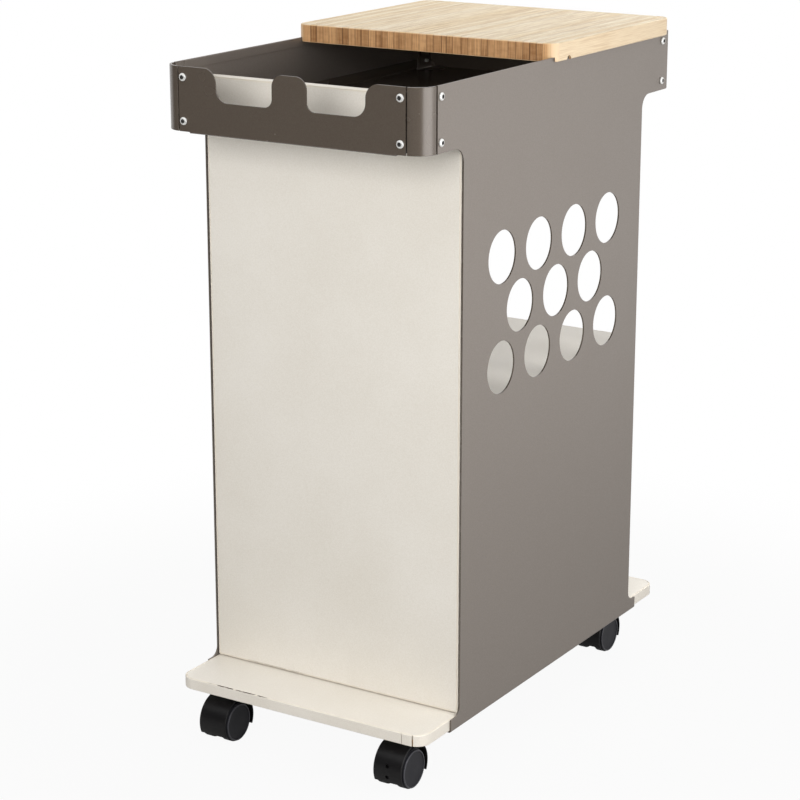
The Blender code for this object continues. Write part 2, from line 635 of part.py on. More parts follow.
def wheel_mesh():
    """Wheel on the +X side of the axle: rounded tread, raised rim, dished face and a blind bore."""
    inner = WHEEL_INNER_FACE
    outer = CASTER_WIDTH / 2
    radius = WHEEL_DIAMETER / 2
    bore = AXLE_DIAMETER / 2 + SEAT_GAP
    profile = [
        (0, outer - WHEEL_DISH),
        (radius - WHEEL_EDGE - WHEEL_RIM, outer - WHEEL_DISH),
        (radius - WHEEL_EDGE - 0.7 * WHEEL_RIM, outer),
        (radius - WHEEL_EDGE, outer),
        (radius - 0.3 * WHEEL_EDGE, outer - 0.3 * WHEEL_EDGE),
        (radius, outer - WHEEL_EDGE),
        (radius, inner + 0.5 * WHEEL_EDGE),
        (radius - 0.5 * WHEEL_EDGE, inner),
        (bore, inner),
        (bore, outer - WHEEL_CAP),
        (0, outer - WHEEL_CAP),
    ]
    return as_mesh("caster_wheel", turned(profile, WHEEL_STEPS))


def casters(housing_plastic, wheel_plastic, steel):
    """Four twin-wheel casters, each hung on an empty at its stem."""
    hood = hood_mesh()
    plate = plate_mesh()
    wheel = wheel_mesh()
    axle_half = CASTER_WIDTH / 2 - WHEEL_CAP - SEAT_GAP
    axle = as_mesh("caster_axle", rod("X", 0, 0, AXLE_DIAMETER, -axle_half, axle_half))
    axle_place = (0, -TRAIL, AXLE_HEIGHT)
    for end, stem_y in STEM_Y.items():
        for side, side_sign in SIDES.items():
            corner = f"{end}_{side}"
            stem = bpy.data.objects.new(f"caster_stem_{corner}", None)
            bpy.context.scene.collection.objects.link(stem)
            stem.location = (side_sign * STEM_X, stem_y, 0)
            place(f"caster_plate_{corner}", plate, steel, parent=stem)
            place(f"caster_hood_{corner}", hood, housing_plastic, parent=stem)
            place(f"caster_axle_{corner}", axle, steel, axle_place, stem)
            for half_name, half_sign in SIDES.items():
                roller = place(f"caster_wheel_{corner}_{half_name}", wheel, wheel_plastic, axle_place, stem)
                roller.rotation_euler.z = 0 if half_sign > 0 else math.pi


def main():
    """Build the cart."""
    clear_scene()
    grey_steel = finish("powder_coated_steel", "#8E8880", 0.5, 0.0)
    dark_steel = finish("gunmetal_steel", "#5A5553", 0.4, 0.3)
    laminate = finish("white_laminate", "#E8E4DC", 0.45, 0.0)
    bamboo = finish("bamboo", "#E3CDA3", 0.45, 0.0)
    zinc = finish("zinc_plate", "#C9C9C6", 0.3, 1.0)
    black_plastic = finish("black_nylon", "#252324", 0.4, 0.0)
    wheel_plastic = finish("dark_grey_nylon", "#323135", 0.5, 0.0)
    bright_steel = finish("bright_steel", "#B4B4B2", 0.3, 1.0)
    for side, sign in SIDES.items():
        side_panel(f"side_panel_{side}", sign, grey_steel)
        corner_bracket(f"corner_bracket_{side}", sign, dark_steel)
        shelf_rail(f"shelf_rail_{side}", sign, grey_steel)
        lower_top = SHELF_LOWER_FACE - CLEAT_END_GAP
        upper_top = TRAY_BOTTOM - CLEAT_END_GAP
        front_cleat(f"front_cleat_lower_{side}", sign, BASE_TOP + CLEAT_END_GAP, lower_top, grey_steel)
        front_cleat(f"front_cleat_upper_{side}", sign, SHELF_UPPER_FACE + CLEAT_END_GAP, upper_top, grey_steel)
    base_board(laminate)
    front_board(laminate)
    shelf(laminate)
    hook_panel(dark_steel)
    rear_rail(dark_steel)
    tray_floor(dark_steel)
    tray_screws(zinc)
    bamboo_top(bamboo)
    casters(black_plastic, wheel_plastic, bright_steel)


main()
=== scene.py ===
"""Looks of a rolling laptop cart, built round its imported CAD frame.

Metres, +Z up, the hook panel facing -Y. Every place comes from the frame's own boxes. The sizes given here
are those of the finish: bends, softened edges, edge bands, grain and grit.
"""

from __future__ import annotations

import json
import logging
import math
from dataclasses import dataclass
from enum import Enum, IntEnum
from itertools import product
from typing import Any, Sequence

import bmesh
import bpy
from mathutils import Matrix, Vector

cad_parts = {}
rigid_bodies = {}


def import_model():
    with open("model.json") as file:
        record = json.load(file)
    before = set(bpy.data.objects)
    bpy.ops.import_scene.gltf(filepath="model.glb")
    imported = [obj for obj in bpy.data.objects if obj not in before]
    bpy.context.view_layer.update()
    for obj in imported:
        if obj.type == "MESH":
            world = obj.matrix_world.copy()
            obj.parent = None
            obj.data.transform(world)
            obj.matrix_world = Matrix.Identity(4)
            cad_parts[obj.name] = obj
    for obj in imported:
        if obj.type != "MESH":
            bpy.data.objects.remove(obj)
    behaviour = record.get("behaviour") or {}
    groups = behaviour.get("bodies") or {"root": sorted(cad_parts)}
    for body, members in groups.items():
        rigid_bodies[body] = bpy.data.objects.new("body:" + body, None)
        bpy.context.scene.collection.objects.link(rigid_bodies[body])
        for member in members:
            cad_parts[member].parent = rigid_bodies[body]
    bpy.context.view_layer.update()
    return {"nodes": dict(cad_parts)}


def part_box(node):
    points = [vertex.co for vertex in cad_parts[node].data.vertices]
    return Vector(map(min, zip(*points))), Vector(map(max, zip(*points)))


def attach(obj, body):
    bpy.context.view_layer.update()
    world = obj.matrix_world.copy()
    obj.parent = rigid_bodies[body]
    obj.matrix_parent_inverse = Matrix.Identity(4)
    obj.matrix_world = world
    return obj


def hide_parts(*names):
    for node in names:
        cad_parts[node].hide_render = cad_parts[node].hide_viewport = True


MM = 0.001
SMOOTH_ANGLE = math.radians(38)
WELD = 1e-7  # points closer than this become one
CUT_SNAP = 1e-6  # a cut that passes a point closer than this goes through it
OVERRUN = 5.0 * MM  # how far a cutting form stands out of what it cuts
# A colour Mix node's sockets, beside its share at 0. Map Range has its value at 0, the value's range at 1
# and 2, and the result's range at 3 and 4.
FIRST, SECOND, MIXED = 6, 7, 2
LOG = logging.getLogger("laptop_cart")

Point = tuple[float, float]
Triple = tuple[float, float, float]
Corner = tuple[float, float, float]
Extent = tuple[float, float, float, float]
Colour = tuple[float, float, float, float]
Tree = bpy.types.NodeTree
Node = bpy.types.Node
Socket = bpy.types.NodeSocket
Mesh = bpy.types.Mesh
Form = bmesh.types.BMesh


class Side(Enum):
    """The cart's two sides, named as its frame names them."""

    LEFT = "left"
    RIGHT = "right"

    @property
    def sign(self) -> int:
        """The side's direction along X."""
        return -1 if self is Side.LEFT else 1


class End(Enum):
    """The cart's two ends."""

    FRONT = "front"
    REAR = "rear"


class Slot(Enum):
    """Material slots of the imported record."""

    POWDER_COAT = "powder_coat"
    GUNMETAL = "gunmetal"
    LAMINATE = "laminate"
    BAMBOO = "bamboo"
    ZINC = "zinc"
    HOOD = "hood_plastic"
    WHEEL = "wheel_plastic"


class Axis(Enum):
    """Directions of a blank's own u, v and w in the cart's frame."""

    SIDE_LEFT = ((0, 1, 0), (0, 0, 1), (-1, 0, 0))
    SIDE_RIGHT = ((0, 1, 0), (0, 0, 1), (1, 0, 0))
    FRONT = ((1, 0, 0), (0, 0, 1), (0, -1, 0))
    REAR = ((1, 0, 0), (0, 0, 1), (0, 1, 0))
    UP = ((1, 0, 0), (0, 1, 0), (0, 0, 1))
    DOWN = ((1, 0, 0), (0, 1, 0), (0, 0, -1))

    def placed(self, w: float = 0.0) -> Matrix:
        """The matrix that stands a blank up, moved by w along its own normal.

        Args:
            w: distance along the blank's normal.

        Returns:
            A matrix from (u, v, w) to the cart's XYZ.
        """
        u_dir, v_dir, w_dir = (Vector(direction) for direction in self.value)
        turn = Matrix((u_dir, v_dir, w_dir)).transposed().to_4x4()
        return turn @ Matrix.Translation((0, 0, w))


class BoardFace(IntEnum):
    """Material numbers on a banded board."""

    FACE = 0
    BAND = 1
    JOINT = 2
    CORE = 3


def linear(hex_colour: str) -> Colour:
    """Turn an sRGB hex colour into linear RGBA.

    Args:
        hex_colour: a colour such as "#8E8880".

    Returns:
        Linear red, green and blue with full alpha.
    """
    shares = [int(hex_colour[i : i + 2], 16) / 255 for i in (1, 3, 5)]
    red, green, blue = (s / 12.92 if s <= 0.04045 else ((s + 0.055) / 1.055) ** 2.4 for s in shares)
    return red, green, blue, 1.0


def grey(value: float) -> Colour:
    """An even grey of a given linear brightness."""
    return value, value, value, 1.0


def add(tree: Tree, kind: str, links: dict[Any, Any] | None = None, **settings: Any) -> Node:
    """Add a node with its settings and links.

    Args:
        tree: the tree that takes the node.
        kind: Blender's name of the node class.
        links: for each input, by name or number, another node's output or a plain value.
        settings: the node's own properties.

    Returns:
        The new node.
    """
    made = tree.nodes.new(kind)
    for key, value in settings.items():
        setattr(made, key, value)
    for key, value in (links or {}).items():
        if isinstance(value, Socket):
            tree.links.new(value, made.inputs[key])
        else:
            made.inputs[key].default_value = value
    return made


@dataclass(frozen=True)
class Finish:
    """A surface finish: a material with its name, main colour, shine and fine relief."""

    name: str
    colour: str
    roughness: float
    metallic: float = 0.0
    specular: float = 0.5
    sheen_spread: float = 0.1  # change of the roughness to each side
    relief: float = 0.03 * MM  # height of the surface's fine pattern
    relief_share: float = 0.4

    def material(self) -> bpy.types.Material:
        """Give the finish's material, made on first use.

        Returns:
            The Blender material.
        """
        found = bpy.data.materials.get(self.name)
        if found:
            return found
        made = bpy.data.materials.new(self.name)
        made.use_nodes = True
        tree = made.node_tree
        shader = tree.nodes["Principled BSDF"]
        shader.inputs["Base Color"].default_value = linear(self.colour)
        shader.inputs["Roughness"].default_value = self.roughness
        shader.inputs["Metallic"].default_value = self.metallic
        shader.inputs["Specular IOR Level"].default_value = self.specular
        made.diffuse_color = linear(self.colour)
        place = add(tree, "ShaderNodeTexCoord").outputs["Object"]
        self.dress(tree, shader, place)
        return made

    def dress(self, tree: Tree, shader: Node, place: Socket) -> None:
        """Add the finish's own pattern.

        Args:
            tree: the material's node tree.
            shader: its Principled shader.
            place: Object coordinates.
        """
        raise NotImplementedError

    def two_toned(self, tree: Tree, shader: Node, share: Socket, second: str) -> None:
        """Blend a second colour into the finish's own.

        Args:
            tree: the material's node tree.
            shader: its Principled shader.
            share: the second colour's share, from 0 to 1.
            second: the second colour.
        """
        tone = {0: share, FIRST: linear(self.colour), SECOND: linear(second)}
        blend = add(tree, "ShaderNodeMix", tone, data_type="RGBA")
        tree.links.new(blend.outputs[MIXED], shader.inputs["Base Color"])

    def raised(self, tree: Tree, shader: Node, height: Socket) -> None:
        """Raise the surface by a pattern.

        Args:
            tree: the material's node tree.
            shader: its Principled shader.
            height: the pattern, from 0 to 1.
        """
        links = {"Height": height, "Distance": self.relief, "Strength": self.relief_share}
        bump = add(tree, "ShaderNodeBump", links)
        tree.links.new(bump.outputs["Normal"], shader.inputs["Normal"])

    def sheened(self, tree: Tree, shader: Node, pattern: Socket) -> None:
        """Vary the roughness about the finish's own.

        Args:
            tree: the material's node tree.
            shader: its Principled shader.
            pattern: a pattern from 0 to 1.
        """
        smooth, rough = self.roughness - self.sheen_spread, self.roughness + self.sheen_spread
        varied = add(tree, "ShaderNodeMapRange", {"Value": pattern, "To Min": smooth, "To Max": rough})
        tree.links.new(varied.outputs["Result"], shader.inputs["Roughness"])


@dataclass(frozen=True)
class PowderCoat(Finish):
    """Powder paint baked on steel sheet: an even satin skin with a faint fleck and a fine orange peel."""

    sheen_spread: float = 0.05
    relief_share: float = 0.35
    fleck: str = "#FFFFFF"
    fleck_mm: float = 0.9
    fleck_levels: Point = (0.35, 0.75)  # of the noise, where the fleck starts and where it is full
    peel_mm: float = 1.3  # about 0.5 in life, drawn coarser so that it shows
    cloud_mm: float = 70.0

    def dress(self, tree: Tree, shader: Node, place: Socket) -> None:
        """Mix a fleck into the colour, cloud the sheen and add the orange peel.

        Args:
            tree: the material's node tree.
            shader: its Principled shader.
            place: Object coordinates.
        """
        fine = {"Vector": place, "Scale": 1 / (self.fleck_mm * MM), "Detail": 2.0}
        fleck = add(tree, "ShaderNodeTexNoise", fine).outputs["Fac"]
        start, full = self.fleck_levels
        share = add(tree, "ShaderNodeMapRange", {0: fleck, 1: start, 2: full}).outputs[0]
        self.two_toned(tree, shader, share, self.fleck)
        broad = {"Vector": place, "Scale": 1 / (self.cloud_mm * MM), "Detail": 3.0}
        self.sheened(tree, shader, add(tree, "ShaderNodeTexNoise", broad).outputs["Fac"])
        dimpled = {"Vector": place, "Scale": 1 / (self.peel_mm * MM), "Detail": 1.0}
        self.raised(tree, shader, add(tree, "ShaderNodeTexNoise", dimpled).outputs["Fac"])


@dataclass(frozen=True)
class Melamine(Finish):
    """Melamine-faced board: off-white, a soft satin with a fine pearl emboss and faint cloudy toning."""

    sheen_spread: float = 0.06
    relief: float = 0.02 * MM
    relief_share: float = 0.3
    shade: str = "#DAD3C6"
    shade_levels: Point = (0.7, 1.7)  # of cloud and pearl together, where the shade starts and is full
    pearl_mm: float = 1.1  # about 0.3 in life, drawn coarser so that it shows
    cloud_mm: float = 120.0

    def dress(self, tree: Tree, shader: Node, place: Socket) -> None:
        """Cloud the white with a warmer tone and emboss it.

        Args:
            tree: the material's node tree.
            shader: its Principled shader.
            place: Object coordinates.
        """
        broad = {"Vector": place, "Scale": 1 / (self.cloud_mm * MM), "Detail": 4.0}
        cloud = add(tree, "ShaderNodeTexNoise", broad).outputs["Fac"]
        fine = {"Vector": place, "Scale": 1 / (self.pearl_mm * MM), "Detail": 2.0}
        pearl = add(tree, "ShaderNodeTexNoise", fine).outputs["Fac"]
        both = add(tree, "ShaderNodeMath", {0: cloud, 1: pearl}, operation="ADD").outputs[0]
        start, full = self.shade_levels
        share = add(tree, "ShaderNodeMapRange", {0: both, 1: start, 2: full}).outputs[0]
        self.two_toned(tree, shader, share, self.shade)
        self.sheened(tree, shader, pearl)
        self.raised(tree, shader, pearl)


@dataclass(frozen=True)
class GlueLine(Finish):
    """Hot-melt joint of an edge band: the board's own white, with a worn stretch that has turned brown."""

    dirt: str = "#43362A"
    worn_from: float = -116.0 * MM
    worn_to: float = -34.0 * MM
    fade: float = 14.0 * MM
    low: float = 100.0 * MM  # dirt stays below this height
    front: float = -200.0 * MM  # and in front of this depth
    speck_mm: float = 9.0
    speck_levels: Point = (0.38, 0.52)  # of the noise, where a speck starts and where it is full

    def dress(self, tree: Tree, shader: Node, place: Socket) -> None:
        """Darken the worn stretch in broken specks.

        Args:
            tree: the material's node tree.
            shader: its Principled shader.
            place: Object coordinates.
        """
        spot = add(tree, "ShaderNodeSeparateXYZ", {0: place}).outputs
        broken = {"Vector": place, "Scale": 1 / (self.speck_mm * MM), "Detail": 2.0}
        speck = add(tree, "ShaderNodeTexNoise", broken).outputs["Fac"]
        start, full = self.speck_levels
        share = add(tree, "ShaderNodeMapRange", {0: speck, 1: start, 2: full}).outputs[0]
        limits = (
            {0: spot["X"], 1: self.worn_from, 2: self.worn_from + self.fade},
            {0: spot["X"], 1: self.worn_to - self.fade, 2: self.worn_to, 3: 1.0, 4: 0.0},
            {0: spot["Z"], 1: self.low, 2: self.low + self.fade, 3: 1.0, 4: 0.0},
            {0: spot["Y"], 1: self.front, 2: self.front + self.fade, 3: 1.0, 4: 0.0},
        )
        for limit in limits:
            window = add(tree, "ShaderNodeMapRange", limit).outputs[0]
            share = add(tree, "ShaderNodeMath", {0: share, 1: window}, operation="MULTIPLY").outputs[0]
        self.two_toned(tree, shader, share, self.dirt)
        self.sheened(tree, shader, speck)


@dataclass(frozen=True)
class Chipboard(Finish):
    """Raw particle board under an edge band: pressed brown chips, dull and rough, smeared with glue."""

    relief: float = 0.4 * MM
    relief_share: float = 0.6
    light: str = "#B08D62"
    glue: str = "#A9A296"
    glued_above: float = 63.5 * MM  # higher up, glue still covers the chips
    smear: float = 1.0 * MM  # over which the glue thins out
    chip_mm: float = 1.8

    def dress(self, tree: Tree, shader: Node, place: Socket) -> None:
        """Colour the chips one by one and smear the glue over the upper ones.

        Args:
            tree: the material's node tree.
            shader: its Principled shader.
            place: Object coordinates.
        """
        chips = add(tree, "ShaderNodeTexVoronoi", {"Vector": place, "Scale": 1 / (self.chip_mm * MM)})
        tone = {0: chips.outputs["Color"], FIRST: linear(self.colour), SECOND: linear(self.light)}
        bare = add(tree, "ShaderNodeMix", tone, data_type="RGBA").outputs[MIXED]
        height = add(tree, "ShaderNodeSeparateXYZ", {0: place}).outputs["Z"]
        limits = {0: height, 1: self.glued_above, 2: self.glued_above + self.smear}
        smeared = add(tree, "ShaderNodeMapRange", limits).outputs[0]
        tone = {0: smeared, FIRST: bare, SECOND: linear(self.glue)}
        colour = add(tree, "ShaderNodeMix", tone, data_type="RGBA")
        tree.links.new(colour.outputs[MIXED], shader.inputs["Base Color"])
        self.raised(tree, shader, chips.outputs["Distance"])


@dataclass(frozen=True)
class Bamboo(Finish):
    """Bamboo strips glued side by side and lacquered: straw with fine brown fibres, and dark end grain."""

    sheen_spread: float = 0.08
    relief: float = 0.04 * MM
    pale: str = "#F5E8CC"
    fibre: str = "#A5793F"
    end_light: str = "#D0A272"
    end_dark: str = "#8C6038"
    glue: str = "#4E3019"
    strip_mm: float = 8.0
    strip_spread: float = 0.6  # how much the strips differ in width
    streak_mm: float = 1.0  # about 0.4 in life, drawn coarser so that it shows
    streak_length_mm: float = 90.0
    fibre_mm: float = 0.7
    fibre_length_mm: float = 26.0
    bundle_length_mm: float = 32.0
    ripple_mm: float = 4.0
    # Of the noise, where fibres and streaks start and where they are full, and their share there
    fibre_levels: Triple = (0.46, 0.66, 0.48)
    streak_levels: Triple = (0.53, 0.61, 0.6)
    broad_levels: Point = (0.2, 0.9)  # how far up a cut edge and the broad face look
    edge_grain: float = 0.45  # share of the fibres that cut edges show
    edge_dullness: float = 0.27  # share of the end grain's colour on cut edges
    corner_start: float = 0.05  # how far along the fibres a face looks where a round corner starts
    corner_grain: Point = (0.3, 0.15)  # where on the corner the fibres have thinned out, and to what share
    corner_dullness: Point = (0.6, 0.4)  # where it is dullest, and the end grain's added share there
    # How far along the fibres a face looks where end grain starts and where it is full
    end_levels: Point = (0.93, 0.97)
    end_mix: float = 0.35  # weight of the ripples, and of each strip's own tone, in the end grain
    end_tones: Point = (0.6, 1.15)
    seam_levels: Point = (0.03, 0.11)  # of a strip, where its glue line is full and where it ends
    seam_on_face: float = 0.3  # the glue line's strength away from the end grain

    def grain(self, tree: Tree, place: Socket) -> dict[str, Socket]:
        """Draw the wood's patterns.

        Args:
            tree: the material's node tree.
            place: where each strip takes its patterns from.

        Returns:
            The patterns, from 0 to 1, by name.
        """
        drawn = {
            "streaks": (self.streak_mm, self.streak_length_mm, self.streak_mm, 2.0),
            "fibres": (self.fibre_mm, self.fibre_length_mm, self.fibre_mm, 2.0),
            "bundles": (self.streak_mm, self.streak_mm, self.bundle_length_mm, 3.0),
            "ripples": (2 * self.strip_mm, self.strip_mm, self.ripple_mm, 2.0),
        }
        made = {}
        for name, (*sizes_mm, detail) in drawn.items():
            scale = tuple(1 / (size * MM) for size in sizes_mm)
            stretched = add(tree, "ShaderNodeVectorMath", {0: place, 1: scale}, operation="MULTIPLY")
            links = {"Vector": stretched.outputs[0], "Scale": 1.0, "Detail": detail}
            made[name] = add(tree, "ShaderNodeTexNoise", links).outputs["Fac"]
        return made

    def long_grain(
        self, tree: Tree, tone: Socket, grain: dict[str, Socket], upward: Socket, along: Socket
    ) -> Socket:
        """Colour the faces that show the fibres' length.

        Args:
            tree: the material's node tree.
            tone: each strip's own tone, from 0 to 1.
            grain: the wood's patterns.
            upward: how far a face looks up.
            along: how far it looks along the fibres.

        Returns:
            The colour.
        """
        edge, broad = self.broad_levels
        thinned, left = self.corner_grain
        dullest, added = self.corner_dullness
        # Fibres show most on the broad face, and a round corner cuts them short.
        flat = add(tree, "ShaderNodeMapRange", {0: upward, 1: edge, 2: broad, 3: self.edge_grain}).outputs[0]
        bend = {0: along, 1: self.corner_start, 2: thinned, 3: 1.0, 4: left}
        uncut = {0: add(tree, "ShaderNodeMapRange", bend).outputs[0], 1: flat}
        visible = add(tree, "ShaderNodeMath", uncut, operation="MULTIPLY").outputs[0]
        ground = {0: tone, FIRST: linear(self.colour), SECOND: linear(self.pale)}
        colour = add(tree, "ShaderNodeMix", ground, data_type="RGBA").outputs[MIXED]
        for name, (start, full, most) in (("fibres", self.fibre_levels), ("streaks", self.streak_levels)):
            drawn = add(tree, "ShaderNodeMapRange", {0: grain[name], 1: start, 2: full, 4: most}).outputs[0]
            share = add(tree, "ShaderNodeMath", {0: drawn, 1: visible}, operation="MULTIPLY").outputs[0]
            brown = {0: share, FIRST: colour, SECOND: linear(self.fibre)}
            colour = add(tree, "ShaderNodeMix", brown, data_type="RGBA").outputs[MIXED]
        # Cut edges are duller than the broad face, and round corners duller still.
        cut = {0: upward, 1: edge, 2: broad, 3: self.edge_dullness, 4: 0.0}
        turn = {0: along, 1: self.corner_start, 2: dullest, 4: added}
        both = {i: add(tree, "ShaderNodeMapRange", links).outputs[0] for i, links in enumerate((cut, turn))}
        dull = add(tree, "ShaderNodeMath", both, operation="ADD").outputs[0]
        dulled = {0: dull, FIRST: colour, SECOND: linear(self.end_light)}
        return add(tree, "ShaderNodeMix", dulled, data_type="RGBA").outputs[MIXED]

    def end_grain(self, tree: Tree, tone: Socket, grain: dict[str, Socket]) -> Socket:
        """Colour the faces that cut across the fibres.

        Args:
            tree: the material's node tree.
            tone: each strip's own tone, from 0 to 1.
            grain: the wood's patterns.

        Returns:
            The colour.
        """
        level = grain["bundles"]
        for pattern in (grain["ripples"], tone):
            links = {0: pattern, 1: self.end_mix, 2: level}
            level = add(tree, "ShaderNodeMath", links, operation="MULTIPLY_ADD").outputs[0]
        light, dark = self.end_tones
        share = add(tree, "ShaderNodeMapRange", {0: level, 1: light, 2: dark}).outputs[0]
        links = {0: share, FIRST: linear(self.end_light), SECOND: linear(self.end_dark)}
        return add(tree, "ShaderNodeMix", links, data_type="RGBA").outputs[MIXED]

    def dress(self, tree: Tree, shader: Node, place: Socket) -> None:
        """Lay the strips along Y, draw their fibres, and turn the faces across Y to end grain.

        Args:
            tree: the material's node tree.
            shader: its Principled shader.
            place: Object coordinates.
        """
        across = add(tree, "ShaderNodeSeparateXYZ", {0: place}).outputs["X"]
        cell = {"W": across, "Scale": 1 / (self.strip_mm * MM), "Randomness": self.strip_spread}
        strips = add(tree, "ShaderNodeTexVoronoi", cell, voronoi_dimensions="1D")
        seams = add(tree, "ShaderNodeTexVoronoi", cell, voronoi_dimensions="1D", feature="DISTANCE_TO_EDGE")
        hue = add(tree, "ShaderNodeSeparateColor", {0: strips.outputs["Color"]}).outputs
        # Each strip takes its fibres from another place, so that they break at the glue lines.
        shift = add(tree, "ShaderNodeCombineXYZ", {"Y": hue["Blue"], "Z": hue["Red"]}).outputs[0]
        moved = add(tree, "ShaderNodeVectorMath", {0: place, 1: shift}, operation="ADD").outputs[0]
        grain = self.grain(tree, moved)
        normal = add(tree, "ShaderNodeTexCoord").outputs["Normal"]
        facing = add(tree, "ShaderNodeSeparateXYZ", {0: normal}).outputs
        along = add(tree, "ShaderNodeMath", {0: facing["Y"]}, operation="ABSOLUTE").outputs[0]
        start, full = self.end_levels
        end_on = add(tree, "ShaderNodeMapRange", {0: along, 1: start, 2: full}).outputs[0]
        length = self.long_grain(tree, hue["Red"], grain, facing["Z"], along)
        faces = {0: end_on, FIRST: length, SECOND: self.end_grain(tree, hue["Green"], grain)}
        wood = add(tree, "ShaderNodeMix", faces, data_type="RGBA").outputs[MIXED]
        full, gone = self.seam_levels
        near = {0: seams.outputs["Distance"], 1: full, 2: gone, 3: 1.0, 4: 0.0}
        glued = add(tree, "ShaderNodeMapRange", near).outputs[0]
        strength = add(tree, "ShaderNodeMapRange", {0: end_on, 3: self.seam_on_face, 4: 1.0}).outputs[0]
        for factor in (strength, hue["Green"]):
            glued = add(tree, "ShaderNodeMath", {0: glued, 1: factor}, operation="MULTIPLY").outputs[0]
        tone = {0: glued, FIRST: wood, SECOND: linear(self.glue)}
        colour = add(tree, "ShaderNodeMix", tone, data_type="RGBA")
        tree.links.new(colour.outputs[MIXED], shader.inputs["Base Color"])
        self.sheened(tree, shader, grain["fibres"])
        self.raised(tree, shader, grain["fibres"])


@dataclass(frozen=True)
class MouldedNylon(Finish):
    """Injection-moulded nylon: near black, satin, with a spark-eroded mould's fine grain and pale scuffs."""

    scuff: str = "#4A494B"
    scuff_mm: float = 14.0
    scuff_levels: Triple = (0.55, 0.8, 0.6)  # of the noise, where one starts and is full, and its share
    grain_mm: float = 0.7

    def dress(self, tree: Tree, shader: Node, place: Socket) -> None:
        """Grain the surface and lay faint scuffs on it.

        Args:
            tree: the material's node tree.
            shader: its Principled shader.
            place: Object coordinates.
        """
        fine = {"Vector": place, "Scale": 1 / (self.grain_mm * MM), "Detail": 2.0}
        worn = {"Vector": place, "Scale": 1 / (self.scuff_mm * MM), "Detail": 6.0, "Roughness": 0.7}
        scuffs = add(tree, "ShaderNodeTexNoise", worn).outputs["Fac"]
        start, full, most = self.scuff_levels
        share = add(tree, "ShaderNodeMapRange", {0: scuffs, 1: start, 2: full, 4: most}).outputs[0]
        self.two_toned(tree, shader, share, self.scuff)
        self.sheened(tree, shader, scuffs)
        self.raised(tree, shader, add(tree, "ShaderNodeTexNoise", fine).outputs["Fac"])


@dataclass(frozen=True)
class PlatedSteel(Finish):
    """Plated steel: bright, with a crystalline mottle that breaks its reflections."""

    sheen_spread: float = 0.08
    relief: float = 0.02 * MM
    relief_share: float = 0.3
    dull: str = "#9A9A97"
    spangle_mm: float = 1.4
    spangle_levels: Triple = (0.4, 0.8, 0.7)  # of the noise, where one starts and is full, and its share

    def dress(self, tree: Tree, shader: Node, place: Socket) -> None:
        """Mottle the plating.

        Args:
            tree: the material's node tree.
            shader: its Principled shader.
            place: Object coordinates.
        """
        crystals = {"Vector": place, "Scale": 1 / (self.spangle_mm * MM), "Detail": 3.0}
        spangle = add(tree, "ShaderNodeTexNoise", crystals).outputs["Fac"]
        start, full, most = self.spangle_levels
        share = add(tree, "ShaderNodeMapRange", {0: spangle, 1: start, 2: full, 4: most}).outputs[0]
        self.two_toned(tree, shader, share, self.dull)
        self.sheened(tree, shader, spangle)
        self.raised(tree, shader, spangle)


# Warm grey satin of the side panels, with a soft metallic gradient down the side
PANEL_PAINT = PowderCoat("powder_coated_steel", "#847C75", 0.42, 0.45, fleck="#8E867F")
# Dark bronze of the tray, darker than the side panels partly as painted shade of metal that faces the front,
# and smoother, so that its round corners take a clear highlight; on the side panels it is painted shade on
# the faces that look forward
TRAY_PAINT_AND_EDGE_SHADE = PowderCoat("dark_powder_coat_and_painted_shade", "#594F46", 0.26, 0.15, 1.0, fleck="#60574D")
# Off-white faces of the boards
WHITE_BOARD = Melamine("melamine_faced_board", "#EBE6DD", 0.42)
# A shade whiter and duller than the faces that it edges
EDGE_BAND = Melamine("abs_edge_band", "#F0EAE0", 0.48, shade="#DED6C8", cloud_mm=50.0)
# A thin line round each board, broken and brown along part of the base's front edge
BAND_JOINT = GlueLine("edge_band_glue", "#E4DCCE", 0.55)
# Brown chips in the two gaps of the base's edge band
BOARD_CORE = Chipboard("raw_chipboard", "#7B5B38", 0.85)
# Straw top with brown end grain at the front
BAMBOO = Bamboo("lacquered_bamboo", "#E7D0A5", 0.42)
# Bright white dots of the screw heads
ZINC = PlatedSteel("zinc_plated_steel", "#F4F4F1", 0.36, 0.6, dull="#C6C6C3")
# Grey plates and axles under the base
BRIGHT_STEEL = PlatedSteel("rolled_bright_steel", "#BDBDBA", 0.32, 1.0, dull="#8C8C89", spangle_mm=3.0)
# Near-black hoods with a soft highlight along the top
HOOD_NYLON = MouldedNylon("black_moulded_nylon", "#111011", 0.42, specular=0.35, scuff="#2C2A2B")
# Wheels a little paler than the hoods
WHEEL_NYLON = MouldedNylon("dark_grey_moulded_nylon", "#26262A", 0.5, specular=0.25, scuff="#37363A")
# Pale ring on the rim of a wheel's cover, a painted highlight
RIM_HIGHLIGHT_NYLON = MouldedNylon("painted_rim_highlight_nylon", "#434348", 0.38, specular=0.4, scuff="#58585E")
# Dull grey inside the screws' sockets, a painted shade of the recess
SOCKET_SHADE = PlatedSteel("painted_socket_shade", "#8A8986", 0.5, 1.0, dull="#5C5B58")
# Painted shade: near-black laps seen through the open seams beside the tray's corners
SEAM_SHADE = PlatedSteel("painted_seam_shade", "#3B3A38", 0.5, 1.0, dull="#242322")


